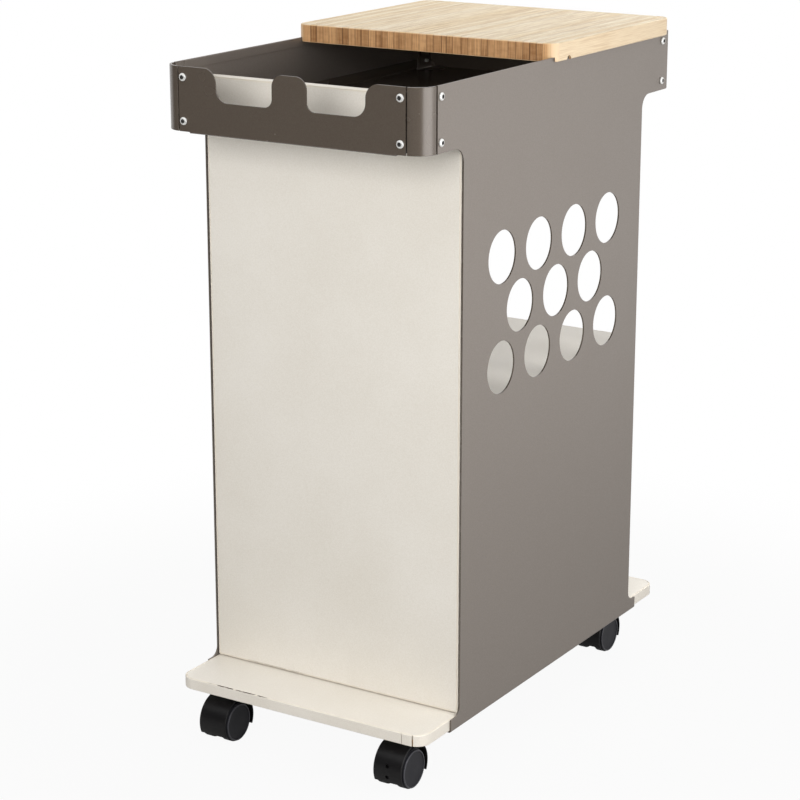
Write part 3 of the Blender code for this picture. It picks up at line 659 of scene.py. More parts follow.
def rounded(corners: Sequence[Corner], steps: int = 8) -> list[Vector]:
    """Draw an outline whose corners are arcs.

    Args:
        corners: (u, v, radius) of each corner in order.
        steps: straight pieces in each arc.

    Returns:
        The outline's points.
    """
    points: list[Vector] = []
    for index, (u, v, radius) in enumerate(corners):
        here = Vector((u, v))
        if radius <= 0:
            points.append(here)
            continue
        before = (Vector(corners[index - 1][:2]) - here).normalized()
        after = (Vector(corners[(index + 1) % len(corners)][:2]) - here).normalized()
        half_angle = before.angle(after) / 2
        spoke_end = here + before * radius / math.tan(half_angle)
        centre = here + (before + after).normalized() * radius / math.sin(half_angle)
        turn = math.copysign(math.pi - 2 * half_angle, before.cross(after) * -1)
        for step in range(steps + 1):
            points.append(centre + Matrix.Rotation(turn * step / steps, 2) @ (spoke_end - centre))
    return points


def rectangle(u0: float, v0: float, u1: float, v1: float, radius: float = 0.0) -> list[Corner]:
    """The corners of a rectangle, counter-clockwise, for rounded."""
    return [(u0, v0, radius), (u1, v0, radius), (u1, v1, radius), (u0, v1, radius)]


def both_halves(right: Sequence[Corner]) -> list[Corner]:
    """The corners of a blank that is alike on both sides of u = 0, from those of its right half."""
    return [(-u, v, radius) for u, v, radius in reversed(right)] + list(right)


def ring(u: float, v: float, diameter: float, steps: int = 32) -> list[Vector]:
    """Points of a circle.

    Args:
        u: centre.
        v: centre.
        diameter: the circle's diameter.
        steps: number of points.

    Returns:
        The points, counter-clockwise.
    """
    turns = (2 * math.pi * (step + 0.5) / steps for step in range(steps))
    return [Vector((u + diameter / 2 * math.cos(a), v + diameter / 2 * math.sin(a))) for a in turns]


def quarter(steps: int) -> list[float]:
    """Angles of a quarter turn in even steps."""
    return [math.pi / 2 * step / steps for step in range(steps + 1)]


def eased(radius: float, steps: int) -> list[Point]:
    """The (inset, drop) points of a rounded edge, from the face out to the side."""
    return [(radius * (1 - math.sin(a)), radius * (1 - math.cos(a))) for a in quarter(steps)]


def filled(outline: Sequence[Vector]) -> Form:
    """Fill an outline in the flat.

    Args:
        outline: its points in order.

    Returns:
        A flat bmesh whose faces look along +w.
    """
    form = bmesh.new()
    verts = [form.verts.new((*point, 0)) for point in outline]
    edges = [form.edges.new((verts[i - 1], verts[i])) for i in range(len(verts))]
    bmesh.ops.triangle_fill(form, use_beauty=True, use_dissolve=False, edges=edges, normal=(0, 0, 1))
    return form


def lofted(levels: Sequence[tuple[Sequence[Vector], float]], numbers: Sequence[int] = ()) -> Form:
    """Close a form over outlines with equally many points.

    Args:
        levels: (outline, w) of each level, from the lowest.
        numbers: material number of the wall above each level, 0 where none is given.

    Returns:
        A closed bmesh.
    """
    form = bmesh.new()
    loops = [[form.verts.new((*point, w)) for point in outline] for outline, w in levels]
    form.faces.new(list(reversed(loops[0])))
    form.faces.new(loops[-1])
    for level, (below, above) in enumerate(zip(loops, loops[1:])):
        for i in range(len(below)):
            face = form.faces.new((below[i - 1], below[i], above[i], above[i - 1]))
            face.material_index = numbers[level] if numbers else 0
    bmesh.ops.recalc_face_normals(form, faces=form.faces)
    return form


def prism(outline: Sequence[Vector], low: float, high: float) -> Form:
    """Extrude an outline along w.

    Args:
        outline: points in u, v, counter-clockwise.
        low: start along w.
        high: end along w.

    Returns:
        A closed bmesh.
    """
    form = bmesh.new()
    base = form.faces.new([form.verts.new((*point, low)) for point in outline])
    top = bmesh.ops.extrude_face_region(form, geom=[base])["geom"]
    raised = [item for item in top if isinstance(item, bmesh.types.BMVert)]
    bmesh.ops.translate(form, verts=raised, vec=(0, 0, high - low))
    bmesh.ops.recalc_face_normals(form, faces=form.faces)
    return form


def turned(profile: Sequence[Point], steps: int, angle: float = 2 * math.pi) -> Form:
    """Turn a closed (radius, x) profile about X, from +Y towards +Z.

    Args:
        profile: the section's points in order.
        steps: straight pieces round the axis.
        angle: how far it turns; less than a whole turn gets closed ends.

    Returns:
        A closed bmesh.
    """
    form = bmesh.new()
    verts = [form.verts.new((x, radius, 0)) for radius, x in profile]
    edges = [form.edges.new((verts[i - 1], verts[i])) for i in range(len(verts))]
    whole = angle >= 2 * math.pi
    if not whole:
        form.faces.new(verts)
    made = bmesh.ops.spin(
        form, geom=verts + edges, axis=(1, 0, 0), cent=(0, 0, 0), angle=angle, steps=steps, use_merge=whole
    )
    if not whole:
        form.faces.new([item for item in made["geom_last"] if isinstance(item, bmesh.types.BMVert)])
    bmesh.ops.remove_doubles(form, verts=form.verts, dist=WELD)
    bmesh.ops.recalc_face_normals(form, faces=form.faces)
    return form


def gathered(forms: Sequence[Form]) -> Form:
    """Put several bmeshes into the first one.

    Args:
        forms: the bmeshes; all but the first are freed.

    Returns:
        The first bmesh, holding them all.
    """
    whole = forms[0]
    for form in forms[1:]:
        part = bpy.data.meshes.new("part")
        form.to_mesh(part)
        form.free()
        whole.from_mesh(part)
        bpy.data.meshes.remove(part)
    return whole


@dataclass(frozen=True)
class Fold:
    """A square bend in a flat blank, made along a line across u or v."""

    across: int  # 0 where the line crosses u, 1 where it crosses v
    line: float  # where the bend starts
    sign: int  # which side of the line turns
    radius: float  # on the blank's own face, which is the outside of the bend

    @property
    def reach(self) -> float:
        """Length of the bend on the blank's face."""
        return self.radius * math.pi / 2

    def blank_length(self, flange: float) -> float:
        """Length that a flange needs beyond the line, from its finished outside height."""
        return self.reach + flange - self.radius

    def cut(self, form: Form, steps: int) -> None:
        """Cut the blank across the bend, so that it can turn smoothly.

        Args:
            form: the flat blank.
            steps: straight pieces in the bend.
        """
        normal = Vector((1, 0, 0)) if self.across == 0 else Vector((0, 1, 0))
        for step in range(steps + 1):
            spot = normal * (self.line + self.sign * self.reach * step / steps)
            geom = [*form.verts, *form.edges, *form.faces]
            bmesh.ops.bisect_plane(form, geom=geom, dist=CUT_SNAP, plane_co=spot, plane_no=normal)

    def turn(self, form: Form) -> None:
        """Turn what lies beyond the line away from the blank's face.

        Args:
            form: the blank, already cut.
        """
        for vert in form.verts:
            beyond = self.sign * (vert.co[self.across] - self.line)
            if beyond <= 0:
                continue
            angle = min(beyond / self.radius, math.pi / 2)
            straight = max(beyond - self.reach, 0.0)
            vert.co[self.across] = self.line + self.sign * self.radius * math.sin(angle)
            vert.co.z -= self.radius * (1 - math.cos(angle)) + straight


def shown(name: str, data: bpy.types.ID) -> bpy.types.Object:
    """Add an object to the scene.

    Args:
        name: the object's name.
        data: its mesh, light or camera.

    Returns:
        The object.
    """
    obj = bpy.data.objects.new(name, data)
    bpy.context.scene.collection.objects.link(obj)
    return obj


def dropped(obj: bpy.types.Object) -> None:
    """Remove an object together with its mesh.

    Args:
        obj: the object.
    """
    mesh = obj.data
    bpy.data.objects.remove(obj, do_unlink=True)
    bpy.data.meshes.remove(mesh)


def baked(name: str, obj: bpy.types.Object) -> Mesh:
    """Keep what an object's modifiers make of it as a plain mesh.

    Args:
        name: name of the mesh.
        obj: the object, which is removed.

    Returns:
        The mesh.
    """
    made = bpy.data.meshes.new_from_object(obj.evaluated_get(bpy.context.evaluated_depsgraph_get()))
    obj.modifiers.clear()
    dropped(obj)
    made.name = name
    return made


def settled(name: str, mesh: Mesh, thickness: float, soften: float, segments: int = 2) -> Mesh:
    """Thicken a mesh, soften its edges and keep the result as a plain mesh.

    Args:
        name: name of the mesh.
        mesh: a sheet, or a closed form where thickness is 0.
        thickness: of the sheet, behind its faces.
        soften: radius of the softened edges, or 0.
        segments: steps across a softened edge.

    Returns:
        The finished mesh, shaded smooth with its flats kept flat.
    """
    mesh.shade_smooth()
    obj = shown(name, mesh)
    if thickness:
        solid = obj.modifiers.new("Thickness", "SOLIDIFY")
        solid.thickness, solid.offset, solid.use_even_offset = thickness, -1.0, True
    if soften:
        bevel = obj.modifiers.new("Softened edges", "BEVEL")
        bevel.width, bevel.segments = soften, segments
        bevel.limit_method, bevel.angle_limit = "ANGLE", SMOOTH_ANGLE
    flats = obj.modifiers.new("Flats", "WEIGHTED_NORMAL")
    flats.keep_sharp = True
    return baked(name, obj)


def stood(name: str, form: Form, matrix: Matrix) -> Mesh:
    """Turn a bmesh in u, v, w into a mesh in the cart's frame.

    Args:
        name: name of the mesh.
        form: the bmesh, which is freed.
        matrix: from (u, v, w) to XYZ.

    Returns:
        The mesh, its faces still looking outwards.
    """
    mesh = bpy.data.meshes.new(name)
    form.to_mesh(mesh)
    form.free()
    mesh.transform(matrix)
    if matrix.determinant() < 0:
        mesh.flip_normals()
    return mesh


def bent_sheet(
    name: str,
    form: Form,
    folds: Sequence[Fold],
    matrix: Matrix,
    thickness: float,
    soften: float = 0.3 * MM,
    steps: int = 5,
) -> Mesh:
    """Bend a flat blank along its folds and give it thickness.

    Args:
        name: name of the mesh.
        form: the flat blank, its outer face along +w.
        folds: the bends, which do not cross each other.
        matrix: from (u, v, w) to XYZ.
        thickness: of the sheet.
        soften: radius of the cut edges.
        steps: straight pieces in each bend.

    Returns:
        The finished mesh.
    """
    for bend in folds:
        bend.cut(form, steps)
    for bend in folds:
        bend.turn(form)
    bmesh.ops.remove_doubles(form, verts=form.verts, dist=WELD)
    return settled(name, stood(name, form, matrix), thickness, soften)


def carved(name: str, base: Form, joined: Sequence[Form], cut: Sequence[Form]) -> Mesh:
    """Join closed forms to a base and cut others from it.

    Args:
        name: name of the mesh.
        base: the form to start from.
        joined: forms that are added.
        cut: forms that are taken away.

    Returns:
        One closed mesh.
    """
    target = shown(name, stood(name, base, Matrix()))
    tools = []
    for operation, forms in (("UNION", joined), ("DIFFERENCE", cut)):
        for form in forms:
            tool = shown(name + "_tool", stood(name + "_tool", form, Matrix()))
            step = target.modifiers.new(operation.title(), "BOOLEAN")
            step.operation, step.object = operation, tool
            tools.append(tool)
    made = baked(name, target)
    for tool in tools:
        dropped(tool)
    return made


def edged(mesh: Mesh, angle: float = SMOOTH_ANGLE) -> Mesh:
    """Shade a mesh smooth, with sharp edges where its faces turn by more than an angle.

    Args:
        mesh: the mesh, which is changed.
        angle: the least turn that stays sharp.

    Returns:
        The same mesh.
    """
    mesh.shade_smooth()
    mesh.set_sharp_from_angle(angle=angle)
    return mesh


def painted(mesh: Mesh, *finishes: Finish) -> Mesh:
    """Give a mesh its finishes.

    Args:
        mesh: the mesh, which is changed.
        finishes: in order of its faces' material numbers.

    Returns:
        The same mesh.
    """
    while len(mesh.materials) < len(finishes):
        mesh.materials.append(None)
    for number, finish in enumerate(finishes):
        mesh.materials[number] = finish.material()
    return mesh


def enter(name: str, mesh: Mesh, body: str, nodes: Sequence[str]) -> None:
    """Add a finished piece to the cart in place of its CAD nodes.

    Args:
        name: the piece's name.
        mesh: its mesh, in the cart's frame.
        body: the body that it rides on.
        nodes: the CAD nodes that it stands for.
    """
    obj = shown(name, mesh)
    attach(obj, body)
    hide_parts(*nodes)
    LOG.info("%s: %d faces on %s for %s", name, len(mesh.polygons), body, ", ".join(nodes))


class NodeTool:
    """A Geometry Nodes tree with named inputs that turns a mesh into another."""

    def __init__(self, name: str, inputs: dict[str, str]) -> None:
        """Start a tree.

        Args:
            name: the tree's name.
            inputs: socket type of each input, by name.
        """
        self.tree = bpy.data.node_groups.new(name, "GeometryNodeTree")
        self.tree.interface.new_socket("Geometry", in_out="INPUT", socket_type="NodeSocketGeometry")
        self.tree.interface.new_socket("Geometry", in_out="OUTPUT", socket_type="NodeSocketGeometry")
        self.keys = {
            label: self.tree.interface.new_socket(label, in_out="INPUT", socket_type=kind).identifier
            for label, kind in inputs.items()
        }
        self.given = self.tree.nodes.new("NodeGroupInput").outputs
        self.result = self.tree.nodes.new("NodeGroupOutput").inputs[0]

    def close(self, geometry: Socket) -> None:
        """Realise the instances, set the materials and send the result out.

        Args:
            geometry: the last geometry of the tree.
        """
        real = add(self.tree, "GeometryNodeRealizeInstances", {0: geometry})
        links = {"Geometry": real.outputs[0], "Material": self.given["Material"]}
        dressed = add(self.tree, "GeometryNodeSetMaterial", links)
        if "Recess Material" in self.keys:
            named = {"Name": "recess"}
            recess = add(self.tree, "GeometryNodeInputNamedAttribute", named, data_type="BOOLEAN")
            links = {"Geometry": dressed.outputs[0], "Material": self.given["Recess Material"]}
            links["Selection"] = recess.outputs[0]
            dressed = add(self.tree, "GeometryNodeSetMaterial", links)
        self.tree.links.new(dressed.outputs[0], self.result)

    def run(self, name: str, mesh: Mesh, values: dict[str, Any]) -> Mesh:
        """Run the tree on a mesh.

        Args:
            name: name of the result.
            mesh: what goes in, which is removed.
            values: the inputs, by name.

        Returns:
            A plain mesh.
        """
        obj = shown(name, mesh)
        modifier = obj.modifiers.new(self.tree.name, "NODES")
        modifier.node_group = self.tree
        for label, value in values.items():
            modifier[self.keys[label]] = value
        return baked(name, obj)


def perforator() -> NodeTool:
    """Make the tree that punches a staggered field of round holes in a flat blank.

    Returns:
        The tree, whose geometry input is the blank's outline as edges.
    """
    tool = NodeTool(
        "punched_sheet",
        {
            "Hole Diameter": "NodeSocketFloat",
            "Hole Pitch": "NodeSocketFloat",
            "Row Pitch": "NodeSocketFloat",
            "Columns": "NodeSocketInt",
            "Rows": "NodeSocketInt",
            "Middle": "NodeSocketVector",
            "Hole Steps": "NodeSocketInt",
            "Material": "NodeSocketMaterial",
        },
    )
    tree, given = tool.tree, tool.given
    outline = add(tree, "GeometryNodeMeshToCurve", {"Mesh": given["Geometry"]})
    spot = add(tree, "ShaderNodeSeparateXYZ", {0: add(tree, "GeometryNodeInputPosition").outputs[0]}).outputs
    sizes = ("Hole Diameter", "Hole Pitch", "Row Pitch", "Columns", "Rows")
    found = {"X": spot["X"], "Y": spot["Y"], **{label: given[label] for label in sizes}}
    # Every second row steps aside by half a pitch, and its last hole, now past the limit, goes.
    for name, first, operation, second in (
        ("gaps", "Columns", "SUBTRACT", 1.0),
        ("length", "gaps", "MULTIPLY", "Hole Pitch"),
        ("row gaps", "Rows", "SUBTRACT", 1.0),
        ("height", "row gaps", "MULTIPLY", "Row Pitch"),
        ("half height", "height", "MULTIPLY", 0.5),
        ("risen", "Y", "ADD", "half height"),
        ("level", "risen", "DIVIDE", "Row Pitch"),
        ("row", "level", "ROUND", 0.0),
        ("odd", "row", "MODULO", 2.0),
        ("half pitch", "Hole Pitch", "MULTIPLY", 0.5),
        ("step", "odd", "MULTIPLY", "half pitch"),
        ("half length", "length", "MULTIPLY", 0.5),
        ("margin", "Hole Pitch", "MULTIPLY", 0.25),
        ("limit", "half length", "ADD", "margin"),
        ("past", "X", "GREATER_THAN", "limit"),
        ("radius", "Hole Diameter", "MULTIPLY", 0.5),
    ):
        terms = {0: found[first], 1: found.get(second, second)}
        found[name] = add(tree, "ShaderNodeMath", terms, operation=operation).outputs[0]
    counts = {"Vertices X": given["Columns"], "Vertices Y": given["Rows"]}
    spans = {"Size X": found["length"], "Size Y": found["height"]}
    grid = add(tree, "GeometryNodeMeshGrid", counts | spans)
    step = add(tree, "ShaderNodeCombineXYZ", {"X": found["step"]}).outputs[0]
    staggered = add(tree, "GeometryNodeSetPosition", {"Geometry": grid.outputs["Mesh"], "Offset": step})
    links = {"Geometry": staggered.outputs[0], "Selection": found["past"]}
    kept = add(tree, "GeometryNodeDeleteGeometry", links, domain="POINT")
    size = {"Resolution": given["Hole Steps"], "Radius": found["radius"]}
    circle = add(tree, "GeometryNodeCurvePrimitiveCircle", size)
    links = {"Points": kept.outputs[0], "Instance": circle.outputs[0]}
    punched = add(tree, "GeometryNodeInstanceOnPoints", links)
    holes = add(tree, "GeometryNodeRealizeInstances", {0: punched.outputs[0]})
    links = {"Geometry": holes.outputs[0], "Translation": given["Middle"]}
    moved = add(tree, "GeometryNodeTransform", links)
    curves = add(tree, "GeometryNodeJoinGeometry")
    tree.links.new(outline.outputs[0], curves.inputs[0])
    tree.links.new(moved.outputs[0], curves.inputs[0])
    sheet = add(tree, "GeometryNodeFillCurve", {0: curves.outputs[0]})
    tool.close(sheet.outputs[0])
    return tool


def screw_driver() -> NodeTool:
    """Make the tree that sets a screw on every point, facing the point's own direction.

    Returns:
        The tree, whose geometry input holds the points and their "facing" vectors.
    """
    tool = NodeTool(
        "screw_rows",
        {
            "Screw": "NodeSocketObject",
            "Spread": "NodeSocketFloat",
            "Material": "NodeSocketMaterial",
            "Recess Material": "NodeSocketMaterial",
        },
    )
    tree, given = tool.tree, tool.given
    facing = add(tree, "GeometryNodeInputNamedAttribute", {"Name": "facing"}, data_type="FLOAT_VECTOR")
    aim = add(tree, "FunctionNodeAlignRotationToVector", {"Vector": facing.outputs[0]}, axis="Z")
    screw = add(tree, "GeometryNodeObjectInfo", {"Object": given["Screw"]})
    links = {"Points": given["Geometry"], "Instance": screw.outputs["Geometry"], "Rotation": aim.outputs[0]}
    rows = add(tree, "GeometryNodeInstanceOnPoints", links)
    chance = {"Max": (0.0, 0.0, 1.0), "Seed": 7}
    spin = add(tree, "FunctionNodeRandomValue", chance, data_type="FLOAT_VECTOR")
    turns = {0: spin.outputs[0], 1: add(tree, "ShaderNodeCombineXYZ", {"Z": given["Spread"]}).outputs[0]}
    amount = add(tree, "ShaderNodeVectorMath", turns, operation="MULTIPLY")
    links = {"Instances": rows.outputs[0], "Rotation": amount.outputs[0]}
    driven = add(tree, "GeometryNodeRotateInstances", links)
    tool.close(driven.outputs[0])
    return tool


@dataclass
class SidePanel:
    """A perforated side: one bent sheet with a tray band, a punched body, tabs and a foot flange."""

    side: Side
    sheet: float = 1.6 * MM
    bend: float = 2.6 * MM
    tray_height: float = 64.0 * MM
    tray_fillet: float = 15.0 * MM
    tab_fillet: float = 10.5 * MM
    tab_reach: float = 17.0 * MM
    corner: float = 1.5 * MM
    hole: float = 54.5 * MM
    hole_steps: int = 72
    hole_pitch: float = 75.5 * MM
    row_pitch: float = 56.5 * MM
    columns: int = 4
    rows: int = 3
    middle_row: float = 418.5 * MM  # above the panel's lower edge
    foot_flange: float = 20.0 * MM
    hem_height: float = 9.5 * MM
    hem_sheet: float = 0.6 * MM
    hem_gap: float = 1.0 * MM  # to the pieces before and behind it
    hem_drop: float = 0.4 * MM  # below the panel's upper edge
    hem_corner: float = 1.0 * MM
    hem_sink: float = 0.1 * MM  # into the panel's inner face
    hem_soften: float = 0.2 * MM
    painted_shade_facing: float = -0.45  # a face whose normal reaches further forward takes the tray's dark paint as painted shade

    def outline(self, fold: Fold) -> list[Vector]:
        """Draw the blank's outline in the flat.

        Args:
            fold: the bend of the foot flange.

        Returns:
            The outline in y, z.
        """
        low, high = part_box(f"side_panel_{self.side.value}")
        base, front_board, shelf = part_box("base_board"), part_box("front_board"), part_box("shelf")
        body_front, body_rear = front_board[0].y, shelf[1].y
        tab_top, tray_bottom = base[1].z, high.z - self.tray_height
        tab_front, tab_rear = body_front - self.tab_reach, body_rear + self.tab_reach
        bottom = fold.line - fold.blank_length(self.foot_flange)
        corners = [
            (tab_front, bottom, 0),
            (tab_rear, bottom, 0),
            (tab_rear, tab_top, self.corner),
            (body_rear, tab_top, self.tab_fillet),
            (body_rear, tray_bottom, self.tray_fillet),
            (high.y, tray_bottom, self.corner),
            (high.y, high.z, self.corner),
            (low.y, high.z, 0),
            (low.y, tray_bottom, 0),
            (body_front, tray_bottom, self.tray_fillet),
            (body_front, tab_top, self.tab_fillet),
            (tab_front, tab_top, self.corner),
        ]
        return rounded(corners, steps=12)

    def hem(self, mesh: Mesh, axis: Axis, inner: float, top: float) -> None:
        """Lay the hem of the upper edge against the panel's inner face.

        Args:
            mesh: the panel's mesh, which takes the hem.
            axis: how the panel stands.
            inner: distance of its inner face from the middle.
            top: height of its upper edge.
        """
        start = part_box(f"corner_bracket_{self.side.value}")[1].y + self.hem_gap
        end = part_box("rear_rail")[0].y - self.hem_gap
        corners = rectangle(start, top - self.hem_height, end, top - self.hem_drop, self.hem_corner)
        strip = prism(rounded(corners, steps=4), inner - self.hem_sheet, inner + self.hem_sink)
        part = settled("hem", stood("hem", strip, axis.placed()), 0.0, self.hem_soften)
        whole = bmesh.new()
        whole.from_mesh(mesh)
        whole.from_mesh(part)
        whole.to_mesh(mesh)
        whole.free()
        bpy.data.meshes.remove(part)

    def build(self, punch: NodeTool) -> None:
        """Punch, bend and dress the panel.

        Args:
            punch: the tree that punches the holes.
        """
        node = f"side_panel_{self.side.value}"
        low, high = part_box(node)
        fold = Fold(1, low.z + self.bend, -1, self.bend)
        blank = bpy.data.meshes.new(node + "_outline")
        points = self.outline(fold)
        count = len(points)
        blank.from_pydata([(*p, 0) for p in points], [(i, (i + 1) % count) for i in range(count)], [])
        middle_y = (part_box("front_board")[0].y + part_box("shelf")[1].y) / 2
        values = {
            "Hole Diameter": self.hole,
            "Hole Pitch": self.hole_pitch,
            "Row Pitch": self.row_pitch,
            "Columns": self.columns,
            "Rows": self.rows,
            "Middle": (middle_y, low.z + self.middle_row, 0.0),
            "Hole Steps": self.hole_steps,
            "Material": PANEL_PAINT.material(),
        }
        flat = punch.run(node + "_blank", blank, values)
        form = bmesh.new()
        form.from_mesh(flat)
        bpy.data.meshes.remove(flat)
        axis = Axis.SIDE_LEFT if self.side is Side.LEFT else Axis.SIDE_RIGHT
        outer = max(abs(low.x), abs(high.x))
        mesh = bent_sheet(node, form, [fold], axis.placed(outer), self.sheet)
        self.hem(mesh, axis, outer - self.sheet, high.z)
        # Faces of the sheet that look forward, such as its cut edges, take the tray's dark paint as painted
        # shade
        for face in mesh.polygons:
            face.material_index = int(face.normal.y < self.painted_shade_facing)
        painted(mesh, PANEL_PAINT, TRAY_PAINT_AND_EDGE_SHADE)
        enter(f"perforated_side_{self.side.value}", mesh, "frame", [node])


@dataclass
class BandedBoard:
    """A melamine-faced board with an edge band round it, glued on and rounded over."""

    name: str
    node: str
    axis: Axis
    corner: float = 1.2 * MM
    least_corner: float = 0.05 * MM  # left of the corner however far it is drawn in
    band: float = 1.6 * MM
    over: float = 0.8 * MM  # rounding of the band's outer edges
    groove: float = 0.4 * MM  # half the width of the glue line
    side_gap: float = 0.0  # the board's play between its neighbours, along u
    foot_gap: float = 0.0  # the open joint under it, along v
    joints: tuple[Point, ...] = ()  # start and end of each gap, round from the first edge's middle
    arc_steps: int = 10
    over_steps: int = 4

    def outline(self, size: Extent, inset: float) -> list[Vector]:
        """Draw the board's outline, drawn in by an inset.

        Args:
            size: lowest and highest u and v.
            inset: distance inwards.

        Returns:
            The outline, with the same number of points for any inset.
        """
        u0, v0, u1, v1 = size
        radius = max(self.corner - inset, self.least_corner)
        corners = rectangle(u0 + inset, v0 + inset, u1 - inset, v1 - inset, radius)
        return rounded(corners, steps=self.arc_steps)

    def band_runs(self, rail: Sequence[Vector]) -> list[list[tuple[int, float]]]:
        """Split the way round the board into runs of band between the joints.

        Args:
            rail: the board's outline.

        Returns:
            For each run, (point number, share towards the next point) along it.
        """
        count = len(rail)
        if not self.joints:
            return [[(i, 0.0) for i in range(count)]]
        first = self.arc_steps  # the first edge starts where the first corner ends
        middle = (rail[first] + rail[first + 1]) / 2
        lengths = [-(middle - rail[first]).length]
        for i in range(first, first + count):
            lengths.append(lengths[-1] + (rail[(i + 1) % count] - rail[i % count]).length)

        def spot(distance: float) -> tuple[int, float]:
            """The point number and share at a distance round the board from the first edge's middle."""
            step = max(i for i in range(count) if lengths[i] <= distance)
            return first + step, (distance - lengths[step]) / (lengths[step + 1] - lengths[step])

        starts = [spot(end) for _, end in self.joints]
        stops = [spot(start) for start, _ in self.joints[1:]]
        last, share = spot(self.joints[0][0])
        stops.append((last + count, share))
        return [
            [start, *((i, 0.0) for i in range(start[0] + 1, stop[0] + 1)), stop]
            for start, stop in zip(starts, stops)
        ]

    def build(self) -> None:
        """Make the core, its faces and the band, and dress them."""
        low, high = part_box(self.node)
        to_flat = self.axis.placed().inverted()
        near, far = to_flat @ low, to_flat @ high
        lo, hi = Vector(map(min, near, far)), Vector(map(max, near, far))
        size = (lo.x + self.side_gap, lo.y + self.foot_gap, hi.x - self.side_gap, hi.y)
        full, cut = self.outline(size, self.band), self.outline(size, self.band + self.groove)
        levels = [(cut, lo.z), (full, lo.z + self.groove), (full, hi.z - self.groove), (cut, hi.z)]
        form = lofted(levels, (BoardFace.JOINT, BoardFace.CORE, BoardFace.JOINT))
        self.add_band(form, size, lo.z, hi.z)
        mesh = edged(stood(self.node, form, self.axis.placed()))
        made = painted(settled(self.node, mesh, 0.0, 0.0), WHITE_BOARD, EDGE_BAND, BAND_JOINT, BOARD_CORE)
        enter(self.name, made, "frame", [self.node])

    def add_band(self, form: Form, size: Extent, bottom: float, top: float) -> None:
        """Sweep the band's section round the board.

        Args:
            form: the bmesh that takes the band.
            size: lowest and highest u and v.
            bottom: the board's lower face.
            top: its upper face.
        """
        edge, lip = eased(self.over, self.over_steps), self.band - self.groove
        section = [(self.band, bottom + self.groove), (lip, bottom)]
        section += [(inset, bottom + drop) for inset, drop in edge]
        # Glue shows in the lower groove, and from the middle of the upper rounding to the upper groove.
        glued = len(section) + len(edge) // 2
        section += [(inset, top - drop) for inset, drop in reversed(edge)]
        section += [(lip, top), (self.band, top - self.groove)]
        rails = [self.outline(size, inset) for inset, _ in section]
        count = len(rails[0])
        for run in self.band_runs(self.outline(size, 0.0)):
            rings = []
            for index, share in run:
                spots = [rail[index % count].lerp(rail[(index + 1) % count], share) for rail in rails]
                rings.append([form.verts.new((*spot, w)) for spot, (_, w) in zip(spots, section)])
            pairs = list(zip(rings, rings[1:]))
            if self.joints:
                for end in (rings[0][::-1], rings[-1]):
                    form.faces.new(end).material_index = BoardFace.BAND
            else:
                pairs.append((rings[-1], rings[0]))
            for before, after in pairs:
                for i in range(len(section)):
                    j = (i + 1) % len(section)
                    face = form.faces.new((before[i], before[j], after[j], after[i]))
                    face.material_index = BoardFace.JOINT if i == 0 or i >= glued else BoardFace.BAND
        bmesh.ops.recalc_face_normals(form, faces=form.faces)


